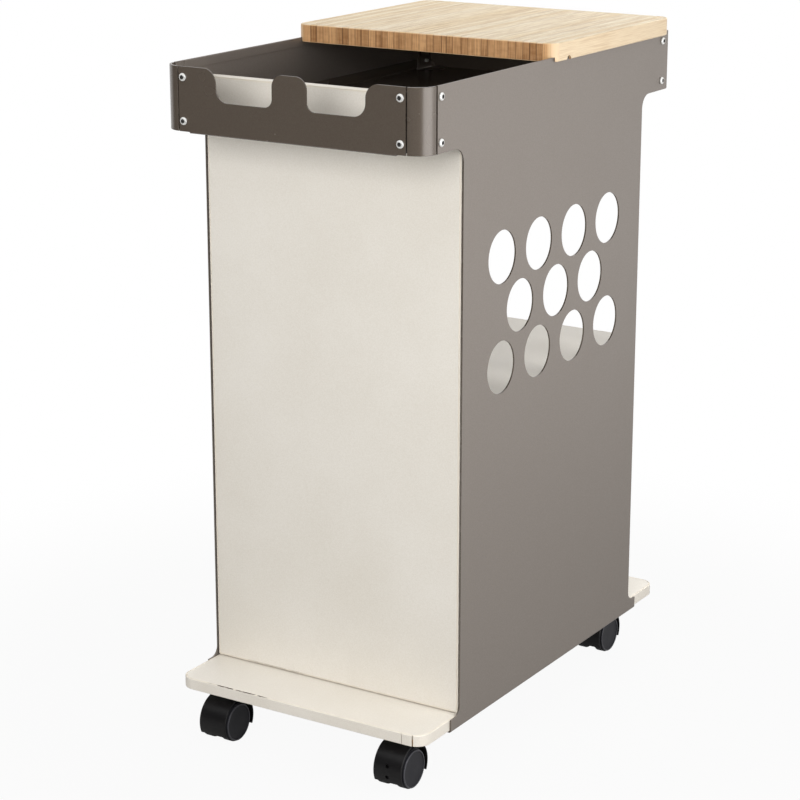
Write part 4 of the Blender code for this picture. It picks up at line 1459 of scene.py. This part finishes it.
@dataclass
class Tray:
    """The tray's metal: hook panel, round corners, rear rail and floor pan."""

    sheet: float = 1.2 * MM
    bend: float = 2.0 * MM
    soften: float = 0.25 * MM
    hook_sheet: float = 1.5 * MM
    hook_soften: float = 0.35 * MM
    scoop_depth: float = 32.5 * MM
    scoop_outer: float = 86.5 * MM
    scoop_radius: float = 14.0 * MM
    tongue_half: float = 20.0 * MM
    tongue_radius: float = 12.0 * MM
    tongue_root: float = 9.0 * MM
    flange: float = 12.0 * MM
    flange_relief: float = 12.0 * MM
    corner_radius: float = 21.4 * MM
    corner_wall: float = 2.4 * MM
    corner_steps: int = 28
    front_seam: float = 1.1 * MM  # open joint beside the hook panel
    side_seam: float = 2.0 * MM  # open joint beside the side panel
    lap_wall: float = 2.0 * MM
    lap_length: float = 13.0 * MM
    lap_depth: float = 1.9 * MM  # behind the round corner's outside
    lap_lift: float = 2.0 * MM  # above its lower edge
    lap_overlap: float = 0.5 * MM  # into the round corner
    seam_facing: float = 0.9  # least share of its normal along which a lap's outer face looks
    seam_slack: float = 0.1 * MM
    rail_flange: float = 28.0 * MM
    rail_ledge: float = 16.0 * MM
    rail_corner: float = 2.0 * MM
    lip: float = 12.0 * MM
    lip_corner: float = 1.5 * MM
    lip_gap: float = 4.3 * MM  # to the rear rail

    def build(self) -> None:
        """Make and dress all four kinds of piece."""
        self.hook_panel()
        for side in Side:
            self.round_corner(side)
        self.rear_rail()
        self.floor_pan()

    def hook_panel(self) -> None:
        """Make the tray's front with its two scoops, centre tongue and return flange."""
        low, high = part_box("hook_panel")
        tray_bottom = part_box("corner_bracket_left")[0].z
        floor, half = high.z - self.scoop_depth, high.x
        flange_half = half - self.flange_relief
        fold = Fold(1, tray_bottom, -1, tray_bottom - low.z)
        bottom = tray_bottom - fold.blank_length(self.flange)
        right = [
            (self.tongue_half, high.z, self.tongue_radius),
            (self.tongue_half, floor, self.tongue_root),
            (self.scoop_outer, floor, self.scoop_radius),
            (self.scoop_outer, high.z, self.scoop_radius),
            (half, high.z, 0),
            (half, tray_bottom, 0),
            (flange_half, tray_bottom, 0),
            (flange_half, bottom, 0),
        ]
        form = filled(rounded(both_halves(right), steps=12))
        placed = Axis.FRONT.placed(-low.y)
        mesh = bent_sheet("hook_panel", form, [fold], placed, self.hook_sheet, self.hook_soften, steps=4)
        enter("hook_front", painted(mesh, TRAY_PAINT_AND_EDGE_SHADE), "frame", ["hook_panel"])

    def round_corner(self, side: Side) -> None:
        """Make a quarter-round corner with its two laps.

        Args:
            side: which corner.
        """
        node, sign = f"corner_bracket_{side.value}", side.sign
        low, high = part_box(node)
        outer_x = high.x if side is Side.RIGHT else low.x
        centre = Vector((outer_x - sign * self.corner_radius, low.y + self.corner_radius))
        first = self.front_seam / self.corner_radius
        last = math.pi / 2 - self.side_seam / self.corner_radius
        turns = [first + (last - first) * step / self.corner_steps for step in range(self.corner_steps + 1)]
        wall, inner = [], self.corner_radius - self.corner_wall
        for radius, way in ((self.corner_radius, turns), (inner, turns[::-1])):
            wall += [centre + Vector((sign * radius * math.sin(a), -radius * math.cos(a))) for a in way]
        pieces = [prism(wall, low.z, high.z)]
        face = self.corner_radius - self.lap_depth
        back = face - self.lap_wall
        lap_low, lap_high = low.z + self.lap_lift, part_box("rear_rail")[1].z
        beside_hook = rectangle(-self.lap_length, -face, self.lap_overlap, -back)
        beside_panel = rectangle(back, -self.lap_overlap, face, self.lap_length)
        for lap in (beside_hook, beside_panel):
            pieces.append(prism([centre + Vector((sign * x, y)) for x, y, _ in lap], lap_low, lap_high))
        mesh = settled(node, stood(node, gathered(pieces), Matrix()), 0.0, self.hook_soften, segments=3)
        # The laps' outer faces show only through the seams and are painted dark, as painted shade
        for patch in mesh.polygons:
            x, y = (patch.center.x - centre.x) * sign, patch.center.y - centre.y
            forward, sideways = -patch.normal.y > self.seam_facing, patch.normal.x * sign > self.seam_facing
            on_front = forward and abs(y + face) < self.seam_slack and x < 0
            on_flank = sideways and abs(x - face) < self.seam_slack and y > 0
            patch.material_index = int(on_front or on_flank)
        painted(mesh, TRAY_PAINT_AND_EDGE_SHADE, SEAM_SHADE)
        enter(f"round_corner_{side.value}", mesh, "frame", [node])

    def rear_rail(self) -> None:
        """Make the folded rail: a web, two side flanges and a ledge."""
        low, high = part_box("rear_rail")
        sides = [Fold(0, sign * (high.x - self.bend), sign, self.bend) for sign in (-1, 1)]
        foot = Fold(1, low.z + self.bend, -1, self.bend)
        reach = high.x - self.bend + sides[0].blank_length(self.rail_flange)
        bottom = foot.line - foot.blank_length(self.rail_ledge)
        inner, notch = high.x - 2 * self.bend, low.z + self.bend
        right = [
            (inner, bottom, 0),
            (inner, notch, 0),
            (reach, notch, 0),
            (reach, high.z, self.rail_corner),
        ]
        form = filled(rounded(both_halves(right)))
        placed = Axis.REAR.placed(high.y)
        mesh = bent_sheet("rear_rail", form, [*sides, foot], placed, self.sheet, self.soften)
        enter("folded_rear_rail", painted(mesh, TRAY_PAINT_AND_EDGE_SHADE), "frame", ["rear_rail"])

    def floor_pan(self) -> None:
        """Make the tray's floor with lips turned up against the front board and the sides."""
        low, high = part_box("tray_floor")
        sides = [Fold(0, sign * (high.x - self.bend), sign, self.bend) for sign in (-1, 1)]
        front = Fold(1, low.y + self.bend, -1, self.bend)
        reach = high.x - self.bend + sides[0].blank_length(self.lip)
        start = front.line - front.blank_length(self.lip)
        inner, notch = high.x - 2 * self.bend, low.y + 2 * self.bend
        lip_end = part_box("rear_rail")[0].y - self.lip_gap
        right = [
            (inner, start, self.lip_corner),
            (inner, notch, 0),
            (reach, notch, self.lip_corner),
            (reach, lip_end, self.lip_corner),
            (inner, lip_end, 0),
            (inner, high.y, 0),
        ]
        form = filled(rounded(both_halves(right)))
        placed = Axis.DOWN.placed(-low.z)
        mesh = bent_sheet("tray_floor", form, [*sides, front], placed, self.sheet, self.soften)
        enter("tray_pan", painted(mesh, TRAY_PAINT_AND_EDGE_SHADE), "frame", ["tray_floor"])


@dataclass
class Angles:
    """The bent angles inside the cart: two under the shelf and four behind the front board."""

    sheet: float = 1.6 * MM
    bend: float = 2.4 * MM
    corner: float = 2.5 * MM

    def build(self) -> None:
        """Make and dress the six angles."""
        for side in Side:
            self.angle(f"shelf_angle_{side.value}", f"shelf_rail_{side.value}", side, upright=False)
            for level in ("lower", "upper"):
                place = f"{level}_{side.value}"
                self.angle(f"front_angle_{place}", f"front_cleat_{place}", side, upright=True)

    def angle(self, name: str, node: str, side: Side, upright: bool) -> None:
        """Make one angle with equal legs, its bend along the cart's side.

        Args:
            name: the piece's name.
            node: the CAD node that it stands for.
            side: which side of the cart.
            upright: whether it stands behind the front board or lies under the shelf.
        """
        low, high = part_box(node)
        leg = high.x - low.x
        outer = high.x if side is Side.RIGHT else low.x
        fold = Fold(0, outer - side.sign * self.bend, side.sign, self.bend)
        far = fold.line + side.sign * fold.blank_length(leg)
        near = fold.line - side.sign * (leg - self.bend)
        start, end = (low.z, high.z) if upright else (low.y, high.y)
        placed = Axis.FRONT.placed(-low.y) if upright else Axis.UP.placed(high.z)
        corners = rectangle(min(near, far), start, max(near, far), end, self.corner)
        mesh = bent_sheet(node, filled(rounded(corners, steps=6)), [fold], placed, self.sheet)
        enter(name, painted(mesh, PANEL_PAINT), "frame", [node])


@dataclass
class TrayScrews:
    """Twelve button-head screws with hexagon sockets, four on the hook panel and four on each side."""

    head: float = 8.0 * MM
    height: float = 2.3 * MM
    dome_start: float = 0.35  # share of the height where the dome starts
    dome_power: float = 0.8  # below 1, the dome is flatter than a ball
    dome_steps: int = 7
    rim: float = 0.12  # share of the height below which the rim draws in
    rim_break: float = 0.15 * MM
    socket: float = 4.3 * MM  # across the corners
    socket_depth: float = 1.4 * MM
    socket_slack: float = 0.05 * MM
    shank: float = 3.6 * MM
    length: float = 7.0 * MM
    steps: int = 48
    crease: float = math.radians(30)
    spread: float = 1.0  # radians over which the sockets' turns differ

    def template(self) -> bpy.types.Object:
        """Make one screw along +Z, its head's underside at the origin.

        Returns:
            An object that the tree copies.
        """
        radius, shank, start = self.head / 2, self.shank / 2, self.dome_start * self.height
        profile = [(0.0, self.height)]
        for a in quarter(self.dome_steps)[1:]:
            rise = (self.height - start) * math.cos(a)
            profile.append((radius * math.sin(a) ** self.dome_power, start + rise))
        profile += [(radius, self.rim * self.height), (radius - self.rim_break, 0.0)]
        profile += [(shank, 0.0), (shank, -self.length), (0.0, -self.length)]
        body = turned(profile, self.steps)
        body.transform(Matrix.Rotation(-math.pi / 2, 4, "Y"))
        hexagon = ring(0, 0, self.socket, steps=6)
        recess = prism(hexagon, self.height - self.socket_depth, self.height + OVERRUN)
        mesh = edged(carved("tray_screw", body, [], [recess]), self.crease)
        # The socket's faces are marked for a darker grey, a painted shade of the recess
        inside = mesh.attributes.new("recess", "BOOLEAN", "FACE")
        reach = self.socket / 2 + self.socket_slack
        for face in mesh.polygons:
            spots = [mesh.vertices[index].co for index in face.vertices]
            inside.data[face.index].value = all(spot.z > 0 and spot.xy.length < reach for spot in spots)
        return shown("tray_screw_template", mesh)

    def build(self, driver: NodeTool) -> None:
        """Set all the screws in one mesh and dress them.

        Args:
            driver: the tree that sets screws on points.
        """
        places: list[Vector] = []
        facings: list[Vector] = []
        nodes: list[str] = []
        for side in Side:
            for level in ("lower", "upper"):
                for end in End:
                    nodes.append(f"tray_screw_{side.value}_{end.value}_{level}")
                    facings.append(Vector((side.sign, 0, 0)))
                nodes.append(f"hook_screw_{side.value}_{level}")
                facings.append(Vector((0, -1, 0)))
        for node, facing in zip(nodes, facings):
            low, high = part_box(node)
            half = abs((high - low).dot(facing)) / 2
            places.append((low + high) / 2 + facing * (half - self.height))
        points = bpy.data.meshes.new("screw_places")
        points.from_pydata(places, [], [])
        attribute = points.attributes.new("facing", "FLOAT_VECTOR", "POINT")
        attribute.data.foreach_set("vector", [value for facing in facings for value in facing])
        template = self.template()
        values = {
            "Screw": template,
            "Spread": self.spread,
            "Material": ZINC.material(),
            "Recess Material": SOCKET_SHADE.material(),
        }
        mesh = driver.run("tray_screw_set", points, values)
        dropped(template)
        enter("tray_screw_set", mesh, "frame", nodes)


@dataclass
class BambooTop:
    """The sliding top: a lacquered bamboo board, grooved underneath for the side panels and for fingers."""

    corner: float = 12.0 * MM
    over: float = 1.4 * MM
    over_steps: int = 5
    groove_depth: float = 4.8 * MM
    groove_gap: float = 1.2 * MM
    sheet: float = 1.6 * MM
    pull_width: float = 8.6 * MM
    pull_setback: float = 31.0 * MM

    def outline(self, low: Vector, high: Vector, inset: float) -> list[Vector]:
        """Draw the board's outline, drawn in by an inset.

        Args:
            low: the board's lowest corner.
            high: its highest corner.
            inset: distance inwards.

        Returns:
            The outline in x, y.
        """
        radius = self.corner - inset
        corners = rectangle(low.x + inset, low.y + inset, high.x - inset, high.y - inset, radius)
        return rounded(corners, steps=12)

    def build(self) -> None:
        """Shape the board, cut its grooves and dress it."""
        low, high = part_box("bamboo_top")
        edge = eased(self.over, self.over_steps)
        levels = [(self.outline(low, high, inset), low.z + drop) for inset, drop in edge]
        levels += [(self.outline(low, high, inset), high.z - drop) for inset, drop in reversed(edge)]
        panel_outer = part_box("side_panel_right")[1].x
        wide, narrow = panel_outer + self.groove_gap, panel_outer - self.sheet - self.groove_gap
        grooves = []
        for left, right in ((-wide, -narrow), (narrow, wide)):
            outline = rounded(rectangle(left, low.y - OVERRUN, right, high.y + OVERRUN))
            grooves.append(prism(outline, low.z - OVERRUN, low.z + self.groove_depth))
        pull = prism(ring(0, 0, self.pull_width, steps=40), low.x - OVERRUN, high.x + OVERRUN)
        place = Matrix.Translation((0, low.y + self.pull_setback, low.z))
        pull.transform(place @ Matrix.Rotation(math.pi / 2, 4, "Y"))
        mesh = edged(carved("bamboo_top", lofted(levels), [], [gathered(grooves), pull]))
        made = painted(settled("bamboo_top", mesh, 0.0, 0.0), BAMBOO)
        enter("sliding_bamboo_board", made, "top", ["bamboo_top"])


@dataclass
class Casters:
    """Four hooded twin-wheel casters: a moulded hood with its web and boss, and two dished wheels each."""

    trail: float = 22.0 * MM
    setback: float = 3.0 * MM
    hood_width: float = 33.4 * MM
    hood_outer: float = 26.4 * MM
    hood_inner: float = 24.5 * MM
    hood_edge: float = 1.3 * MM
    hood_edge_steps: int = 5
    hood_lip: float = 0.3 * MM  # bevel along the shell's inner edge
    hood_crease: float = math.radians(34)
    front_clearance: float = 10.0 * MM
    rear_clearance: float = 9.6 * MM
    web_half: float = 7.0 * MM
    boss: float = 21.0 * MM
    boss_height: float = 11.0 * MM
    pin_hole: float = 7.6 * MM
    pin_depth: float = 26.0 * MM
    axle_hole: float = 6.6 * MM
    wheel_radius: float = 21.0 * MM
    wheel_groove: float = 1.0 * MM  # step down from the tread to the cover, a dark ring beside the hood
    cover_width: float = 2.6 * MM
    wheel_rim: float = 0.9 * MM
    rim_break: float = 0.2 * MM
    wheel_dish: float = 1.0 * MM
    dish_crown: float = 0.25 * MM  # rise of the dish's middle
    dish_shoulder: Point = (0.45, 0.2 * MM)  # share of the dish's radius, and the rise there
    dish_foot: float = 0.8 * MM  # from the rim to the dish's lowest ring
    dish_fillet: Point = (0.3 * MM, 0.1 * MM)  # from the rim, and the rise there
    wheel_edge: float = 0.7 * MM
    wheel_edge_steps: int = 6
    wheel_cap: float = 3.0 * MM
    steps: int = 96
    pocket: float = 4.2 * MM
    pocket_depth: float = 2.4 * MM
    pocket_heights: Point = (16.6 * MM, 28.2 * MM)  # on the hood of the front right caster alone

    def hood_mesh(self, boss_top: float, pockets: Sequence[float] = ()) -> Mesh:
        """Make a hood about its stem.

        Args:
            boss_top: height of the boss's upper face.
            pockets: heights of small blind holes in the hood's front.

        Returns:
            The hood as one closed mesh.
        """
        axle, half = self.wheel_radius, self.hood_width / 2
        centre_y = self.setback - self.trail
        front_drop = math.asin((axle - self.front_clearance) / self.hood_outer)
        rear_drop = math.asin((axle - self.rear_clearance) / self.hood_outer)
        sweep = rear_drop + math.pi + front_drop
        edge = eased(self.hood_edge, self.hood_edge_steps)
        profile = [(self.hood_outer - drop, half - inset) for inset, drop in edge]
        profile += [(self.hood_inner + self.hood_lip, half), (self.hood_inner, half - self.hood_lip)]
        profile += [(radius, -x) for radius, x in reversed(profile)]
        shell = turned(profile, self.steps, sweep)
        shell.transform(Matrix.Translation((0, centre_y, axle)) @ Matrix.Rotation(-rear_drop, 4, "X"))
        web_radius = (self.hood_inner + self.hood_outer) / 2
        turns = [sweep * step / self.steps - rear_drop for step in range(self.steps + 1)]
        arc = [(web_radius * math.cos(a), web_radius * math.sin(a)) for a in turns]
        outline = [Vector((centre_y + u, axle + v)) for u, v in arc]
        web = prism(outline, -self.web_half, self.web_half)
        web.transform(Axis.SIDE_RIGHT.placed())
        sleeve = prism(ring(0, 0, 2 * self.web_half), axle, boss_top - self.boss_height / 2)
        boss = prism(ring(0, 0, self.boss, steps=48), boss_top - self.boss_height, boss_top)
        pin = prism(ring(0, 0, self.pin_hole), boss_top - self.pin_depth, boss_top + OVERRUN)
        bore = prism(ring(-self.trail, axle, self.axle_hole), -self.hood_width, self.hood_width)
        bore.transform(Axis.SIDE_RIGHT.placed())
        dents = [prism(ring(0, height, self.pocket, steps=20), 0, self.hood_outer) for height in pockets]
        for dent, height in zip(dents, pockets):
            depth = math.sqrt(self.hood_outer**2 - (height - axle) ** 2) - self.pocket_depth
            dent.transform(Axis.FRONT.placed(depth - centre_y))
        mesh = carved("caster_hood", web, [shell, sleeve, boss], [pin, bore, *dents])
        return edged(mesh, self.hood_crease)

    def wheel_mesh(self, inner: float, outer: float) -> Mesh:
        """Make the wheel on the +X side of an axle through the origin.

        Args:
            inner: its inner face.
            outer: its outer face.

        Returns:
            The wheel as one closed mesh.
        """
        radius, bore, cap = self.wheel_radius, self.axle_hole / 2, outer - self.wheel_cap
        edge, half_edge = (eased(size * self.wheel_edge, self.wheel_edge_steps) for size in (1, 0.5))
        cover, shoulder = radius - self.wheel_groove, outer - self.cover_width
        rim = cover - self.wheel_edge - self.wheel_rim
        floor = outer - self.wheel_dish
        share, rise = self.dish_shoulder
        fillet, fillet_rise = self.dish_fillet
        profile = [(0.0, floor + self.dish_crown), (share * rim, floor + rise)]
        profile += [(rim - self.dish_foot, floor), (rim - fillet, floor + fillet_rise)]
        profile += [(rim, outer - self.rim_break), (rim + self.rim_break, outer)]
        profile += [(cover - inset, outer - drop) for inset, drop in edge]
        profile += [(cover, shoulder)]
        profile += [(radius - inset, shoulder - drop) for inset, drop in half_edge]
        profile += [(radius - drop, inner + inset) for inset, drop in edge]
        profile += [(bore, inner), (bore, cap), (0.0, cap)]
        mesh = stood("caster_wheel", turned(profile, self.steps), Matrix())
        # The cover's rim takes a paler nylon, a painted highlight
        for face in mesh.polygons:
            on_rim = face.center.x > outer - self.wheel_edge and face.center.yz.length > rim
            face.material_index = int(on_rim)
        return edged(mesh)

    def build(self, nodes: dict[str, bpy.types.Object]) -> None:
        """Place and dress the hoods and wheels, and dress the CAD plates and axles.

        Args:
            nodes: the frame's CAD nodes.
        """
        hood_low, hood_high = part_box("caster_hood_front_right")
        stem_x = (hood_low.x + hood_high.x) / 2
        hood, marked_hood = self.hood_mesh(hood_high.z), self.hood_mesh(hood_high.z, self.pocket_heights)
        wheel_low, wheel_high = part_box("caster_wheel_front_right_right")
        wheel = self.wheel_mesh(wheel_low.x - stem_x, wheel_high.x - stem_x)
        for end, side in product(End, Side):
            corner = f"{end.value}_{side.value}"
            plate_low, plate_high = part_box(f"caster_plate_{corner}")
            stem = (plate_low + plate_high) / 2
            foot = Vector((stem.x, stem.y, 0))
            shell = (marked_hood if (end, side) == (End.FRONT, Side.RIGHT) else hood).copy()
            shell.transform(Matrix.Translation(foot))
            painted(shell, HOOD_NYLON)
            enter(f"caster_shell_{corner}", shell, f"caster_{corner}", [f"caster_hood_{corner}"])
            hub = foot + Vector((0, -self.trail, self.wheel_radius))
            for half in Side:
                roller = wheel.copy()
                turn = Matrix() if half is Side.RIGHT else Matrix.Rotation(math.pi, 4, "Z")
                roller.transform(Matrix.Translation(hub) @ turn)
                painted(roller, WHEEL_NYLON, RIM_HIGHLIGHT_NYLON)
                name = f"{corner}_{half.value}"
                enter(f"roller_{name}", roller, f"wheel_{name}", [f"caster_wheel_{name}"])
            for kind in ("plate", "axle"):
                painted(nodes[f"caster_{kind}_{corner}"].data, BRIGHT_STEEL)
        for spent in (hood, marked_hood, wheel):
            bpy.data.meshes.remove(spent)


@dataclass
class Lamp:
    """A soft box: an area light aimed at a point."""

    name: str
    place: Triple
    aim: Triple
    width: float
    height: float
    power: float
    in_reflections: bool = True
    on_dull: bool = True

    def build(self) -> None:
        """Hang the lamp."""
        data = bpy.data.lights.new(self.name, "AREA")
        data.shape, data.size, data.size_y, data.energy = "RECTANGLE", self.width, self.height, self.power
        obj = shown(self.name, data)
        obj.location = self.place
        obj.rotation_mode = "QUATERNION"
        obj.rotation_quaternion = (Vector(self.aim) - Vector(self.place)).to_track_quat("-Z", "Y")
        obj.visible_camera = False
        obj.visible_glossy, obj.visible_diffuse = self.in_reflections, self.on_dull


@dataclass
class Studio:
    """Pale floor, white surround, a dark flag, soft boxes and the camera."""

    camera_place: Triple = (1.2650, -2.0833, 1.0362)
    camera_azimuth: float = 32.02
    camera_pitch: float = 16.12
    lens: float = 105.34  # in mm, like the sensor
    sensor: float = 36.0
    far_clip: float = 60.0
    floor_half: float = 14.0
    floor_colour: str = "#979694"
    floor_white: float = 0.94  # share of plain white that the camera sees over the floor's own shading
    shadow_start: float = 0.4  # from here out the shadow fades
    shadow_reach: float = 0.9  # beyond this the floor is seen plain white
    floor_mirrored: Point = (0.25, 2.2)  # the same share and reach in reflections
    flag_radius: float = 1.6
    flag_top: float = 1.05
    flag_turns: tuple[int, int, int] = (-75, 51, 5)  # degrees from straight ahead: start, stop and step
    flag_grey: float = 0.03
    surround: float = 0.4  # the world's light on dull surfaces
    lamps: tuple[Lamp, ...] = (
        Lamp("top_box", (0.2, -0.2, 3.4), (0.0, 0.0, 0.5), 2.6, 2.6, 13.0),
        Lamp("right_box", (1.68, -0.42, 0.62), (0.15, -0.25, 0.62), 1.5, 1.0, 9.4, on_dull=False),
        Lamp("side_box", (1.05, -0.2, 0.62), (0.15, -0.1, 0.42), 0.8, 0.6, 7.4, in_reflections=False),
        Lamp("front_box", (0.3, -1.75, 1.1), (0.0, -0.2, 0.65), 1.6, 0.9, 20.0, in_reflections=False),
        Lamp("rear_box", (-0.1, 1.7, 1.34), (0.0, 0.1, 0.4), 1.2, 0.8, 27.0, in_reflections=False),
    )

    def build(self) -> None:
        """Set up everything round the cart."""
        for lamp in self.lamps:
            lamp.build()
        self.floor()
        self.flag()
        self.world()
        self.camera()
        bpy.context.scene.view_settings.view_transform = "Standard"

    def floor(self) -> None:
        """Lay the floor, which the camera sees almost white."""
        half = self.floor_half
        mesh = bpy.data.meshes.new("floor")
        corners = [(u, v, 0) for u, v, _ in rectangle(-half, -half, half, half)]
        mesh.from_pydata(corners, [], [(0, 1, 2, 3)])
        material = bpy.data.materials.new("matt_studio_floor")
        material.use_nodes = True
        tree = material.node_tree
        tree.nodes.remove(tree.nodes["Principled BSDF"])
        matt = add(tree, "ShaderNodeBsdfDiffuse", {"Color": linear(self.floor_colour)})
        white = add(tree, "ShaderNodeEmission", {"Color": grey(1.0), "Strength": 1.0})
        place = add(tree, "ShaderNodeTexCoord").outputs["Object"]
        away = add(tree, "ShaderNodeVectorMath", {0: place}, operation="LENGTH").outputs["Value"]
        path = add(tree, "ShaderNodeLightPath").outputs
        rays = {0: path["Is Glossy Ray"], 1: path["Is Transmission Ray"]}
        mirrored = add(tree, "ShaderNodeMath", rays, operation="MAXIMUM").outputs[0]
        direct = (path["Is Camera Ray"], self.floor_white, self.shadow_reach)
        shares = []
        for seen, near, reach in (direct, (mirrored, *self.floor_mirrored)):
            limits = {0: away, 1: self.shadow_start, 2: reach, 3: near, 4: 1.0}
            fade = add(tree, "ShaderNodeMapRange", limits, interpolation_type="SMOOTHSTEP").outputs[0]
            shares.append(add(tree, "ShaderNodeMath", {0: seen, 1: fade}, operation="MULTIPLY").outputs[0])
        share = add(tree, "ShaderNodeMath", dict(enumerate(shares)), operation="MAXIMUM")
        links = {0: share.outputs[0], 1: matt.outputs[0], 2: white.outputs[0]}
        mixed = add(tree, "ShaderNodeMixShader", links)
        tree.links.new(mixed.outputs[0], tree.nodes["Material Output"].inputs["Surface"])
        mesh.materials.append(material)
        shown("studio_floor", mesh)

    def flag(self) -> None:
        """Stand a dark flag in front of the cart, which only reflections see."""
        mesh = bpy.data.meshes.new("flag")
        turns = [math.radians(angle) for angle in range(*self.flag_turns)]
        lower = [(self.flag_radius * math.sin(a), -self.flag_radius * math.cos(a), 0.0) for a in turns]
        verts = lower + [(x, y, self.flag_top) for x, y, _ in lower]
        count = len(lower)
        mesh.from_pydata(verts, [], [(i, i + 1, count + i + 1, count + i) for i in range(count - 1)])
        material = bpy.data.materials.new("black_flag_cloth")
        material.use_nodes = True
        shader = material.node_tree.nodes["Principled BSDF"]
        shader.inputs["Base Color"].default_value = grey(self.flag_grey)
        mesh.materials.append(material)
        obj = shown("studio_flag", mesh)
        obj.visible_camera = obj.visible_diffuse = obj.visible_transmission = obj.visible_shadow = False

    def world(self) -> None:
        """Surround the cart with white, dimmer for the light that it casts than for the eye."""
        world = bpy.data.worlds.new("white_surround")
        bpy.context.scene.world = world
        world.use_nodes = True
        tree = world.node_tree
        path = add(tree, "ShaderNodeLightPath").outputs
        seen = path["Is Camera Ray"]
        for ray in ("Is Glossy Ray", "Is Transmission Ray"):
            seen = add(tree, "ShaderNodeMath", {0: seen, 1: path[ray]}, operation="MAXIMUM").outputs[0]
        strength = add(tree, "ShaderNodeMapRange", {"Value": seen, "To Min": self.surround, "To Max": 1.0})
        surround = tree.nodes["Background"]
        surround.inputs["Color"].default_value = grey(1.0)
        tree.links.new(strength.outputs[0], surround.inputs["Strength"])

    def camera(self) -> None:
        """Set up the camera at the photograph's angle."""
        data = bpy.data.cameras.new("camera")
        data.lens, data.sensor_width, data.clip_end = self.lens, self.sensor, self.far_clip
        obj = shown("camera", data)
        obj.location = self.camera_place
        obj.rotation_euler = (math.radians(90 - self.camera_pitch), 0, math.radians(self.camera_azimuth))
        bpy.context.scene.camera = obj


def main() -> None:
    """Build the cart's looks round its frame."""
    logging.basicConfig(level=logging.INFO, format="%(name)s: %(message)s")
    for obj in list(bpy.data.objects):
        bpy.data.objects.remove(obj, do_unlink=True)
    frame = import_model()
    punch = perforator()
    for side in Side:
        SidePanel(side).build(punch)
    chipped = ((126.0 * MM, 126.6 * MM), (138.0 * MM, 139.6 * MM))
    BandedBoard("banded_base", "base_board", Axis.UP, corner=16.0 * MM, joints=chipped).build()
    BandedBoard("laminate_front", "front_board", Axis.FRONT, side_gap=0.6 * MM, foot_gap=0.7 * MM).build()
    BandedBoard("laminate_shelf", "shelf", Axis.UP).build()
    Tray().build()
    Angles().build()
    TrayScrews().build(screw_driver())
    BambooTop().build()
    Casters().build(frame["nodes"])
    Studio().build()


if __name__ == "__main__":
    main()
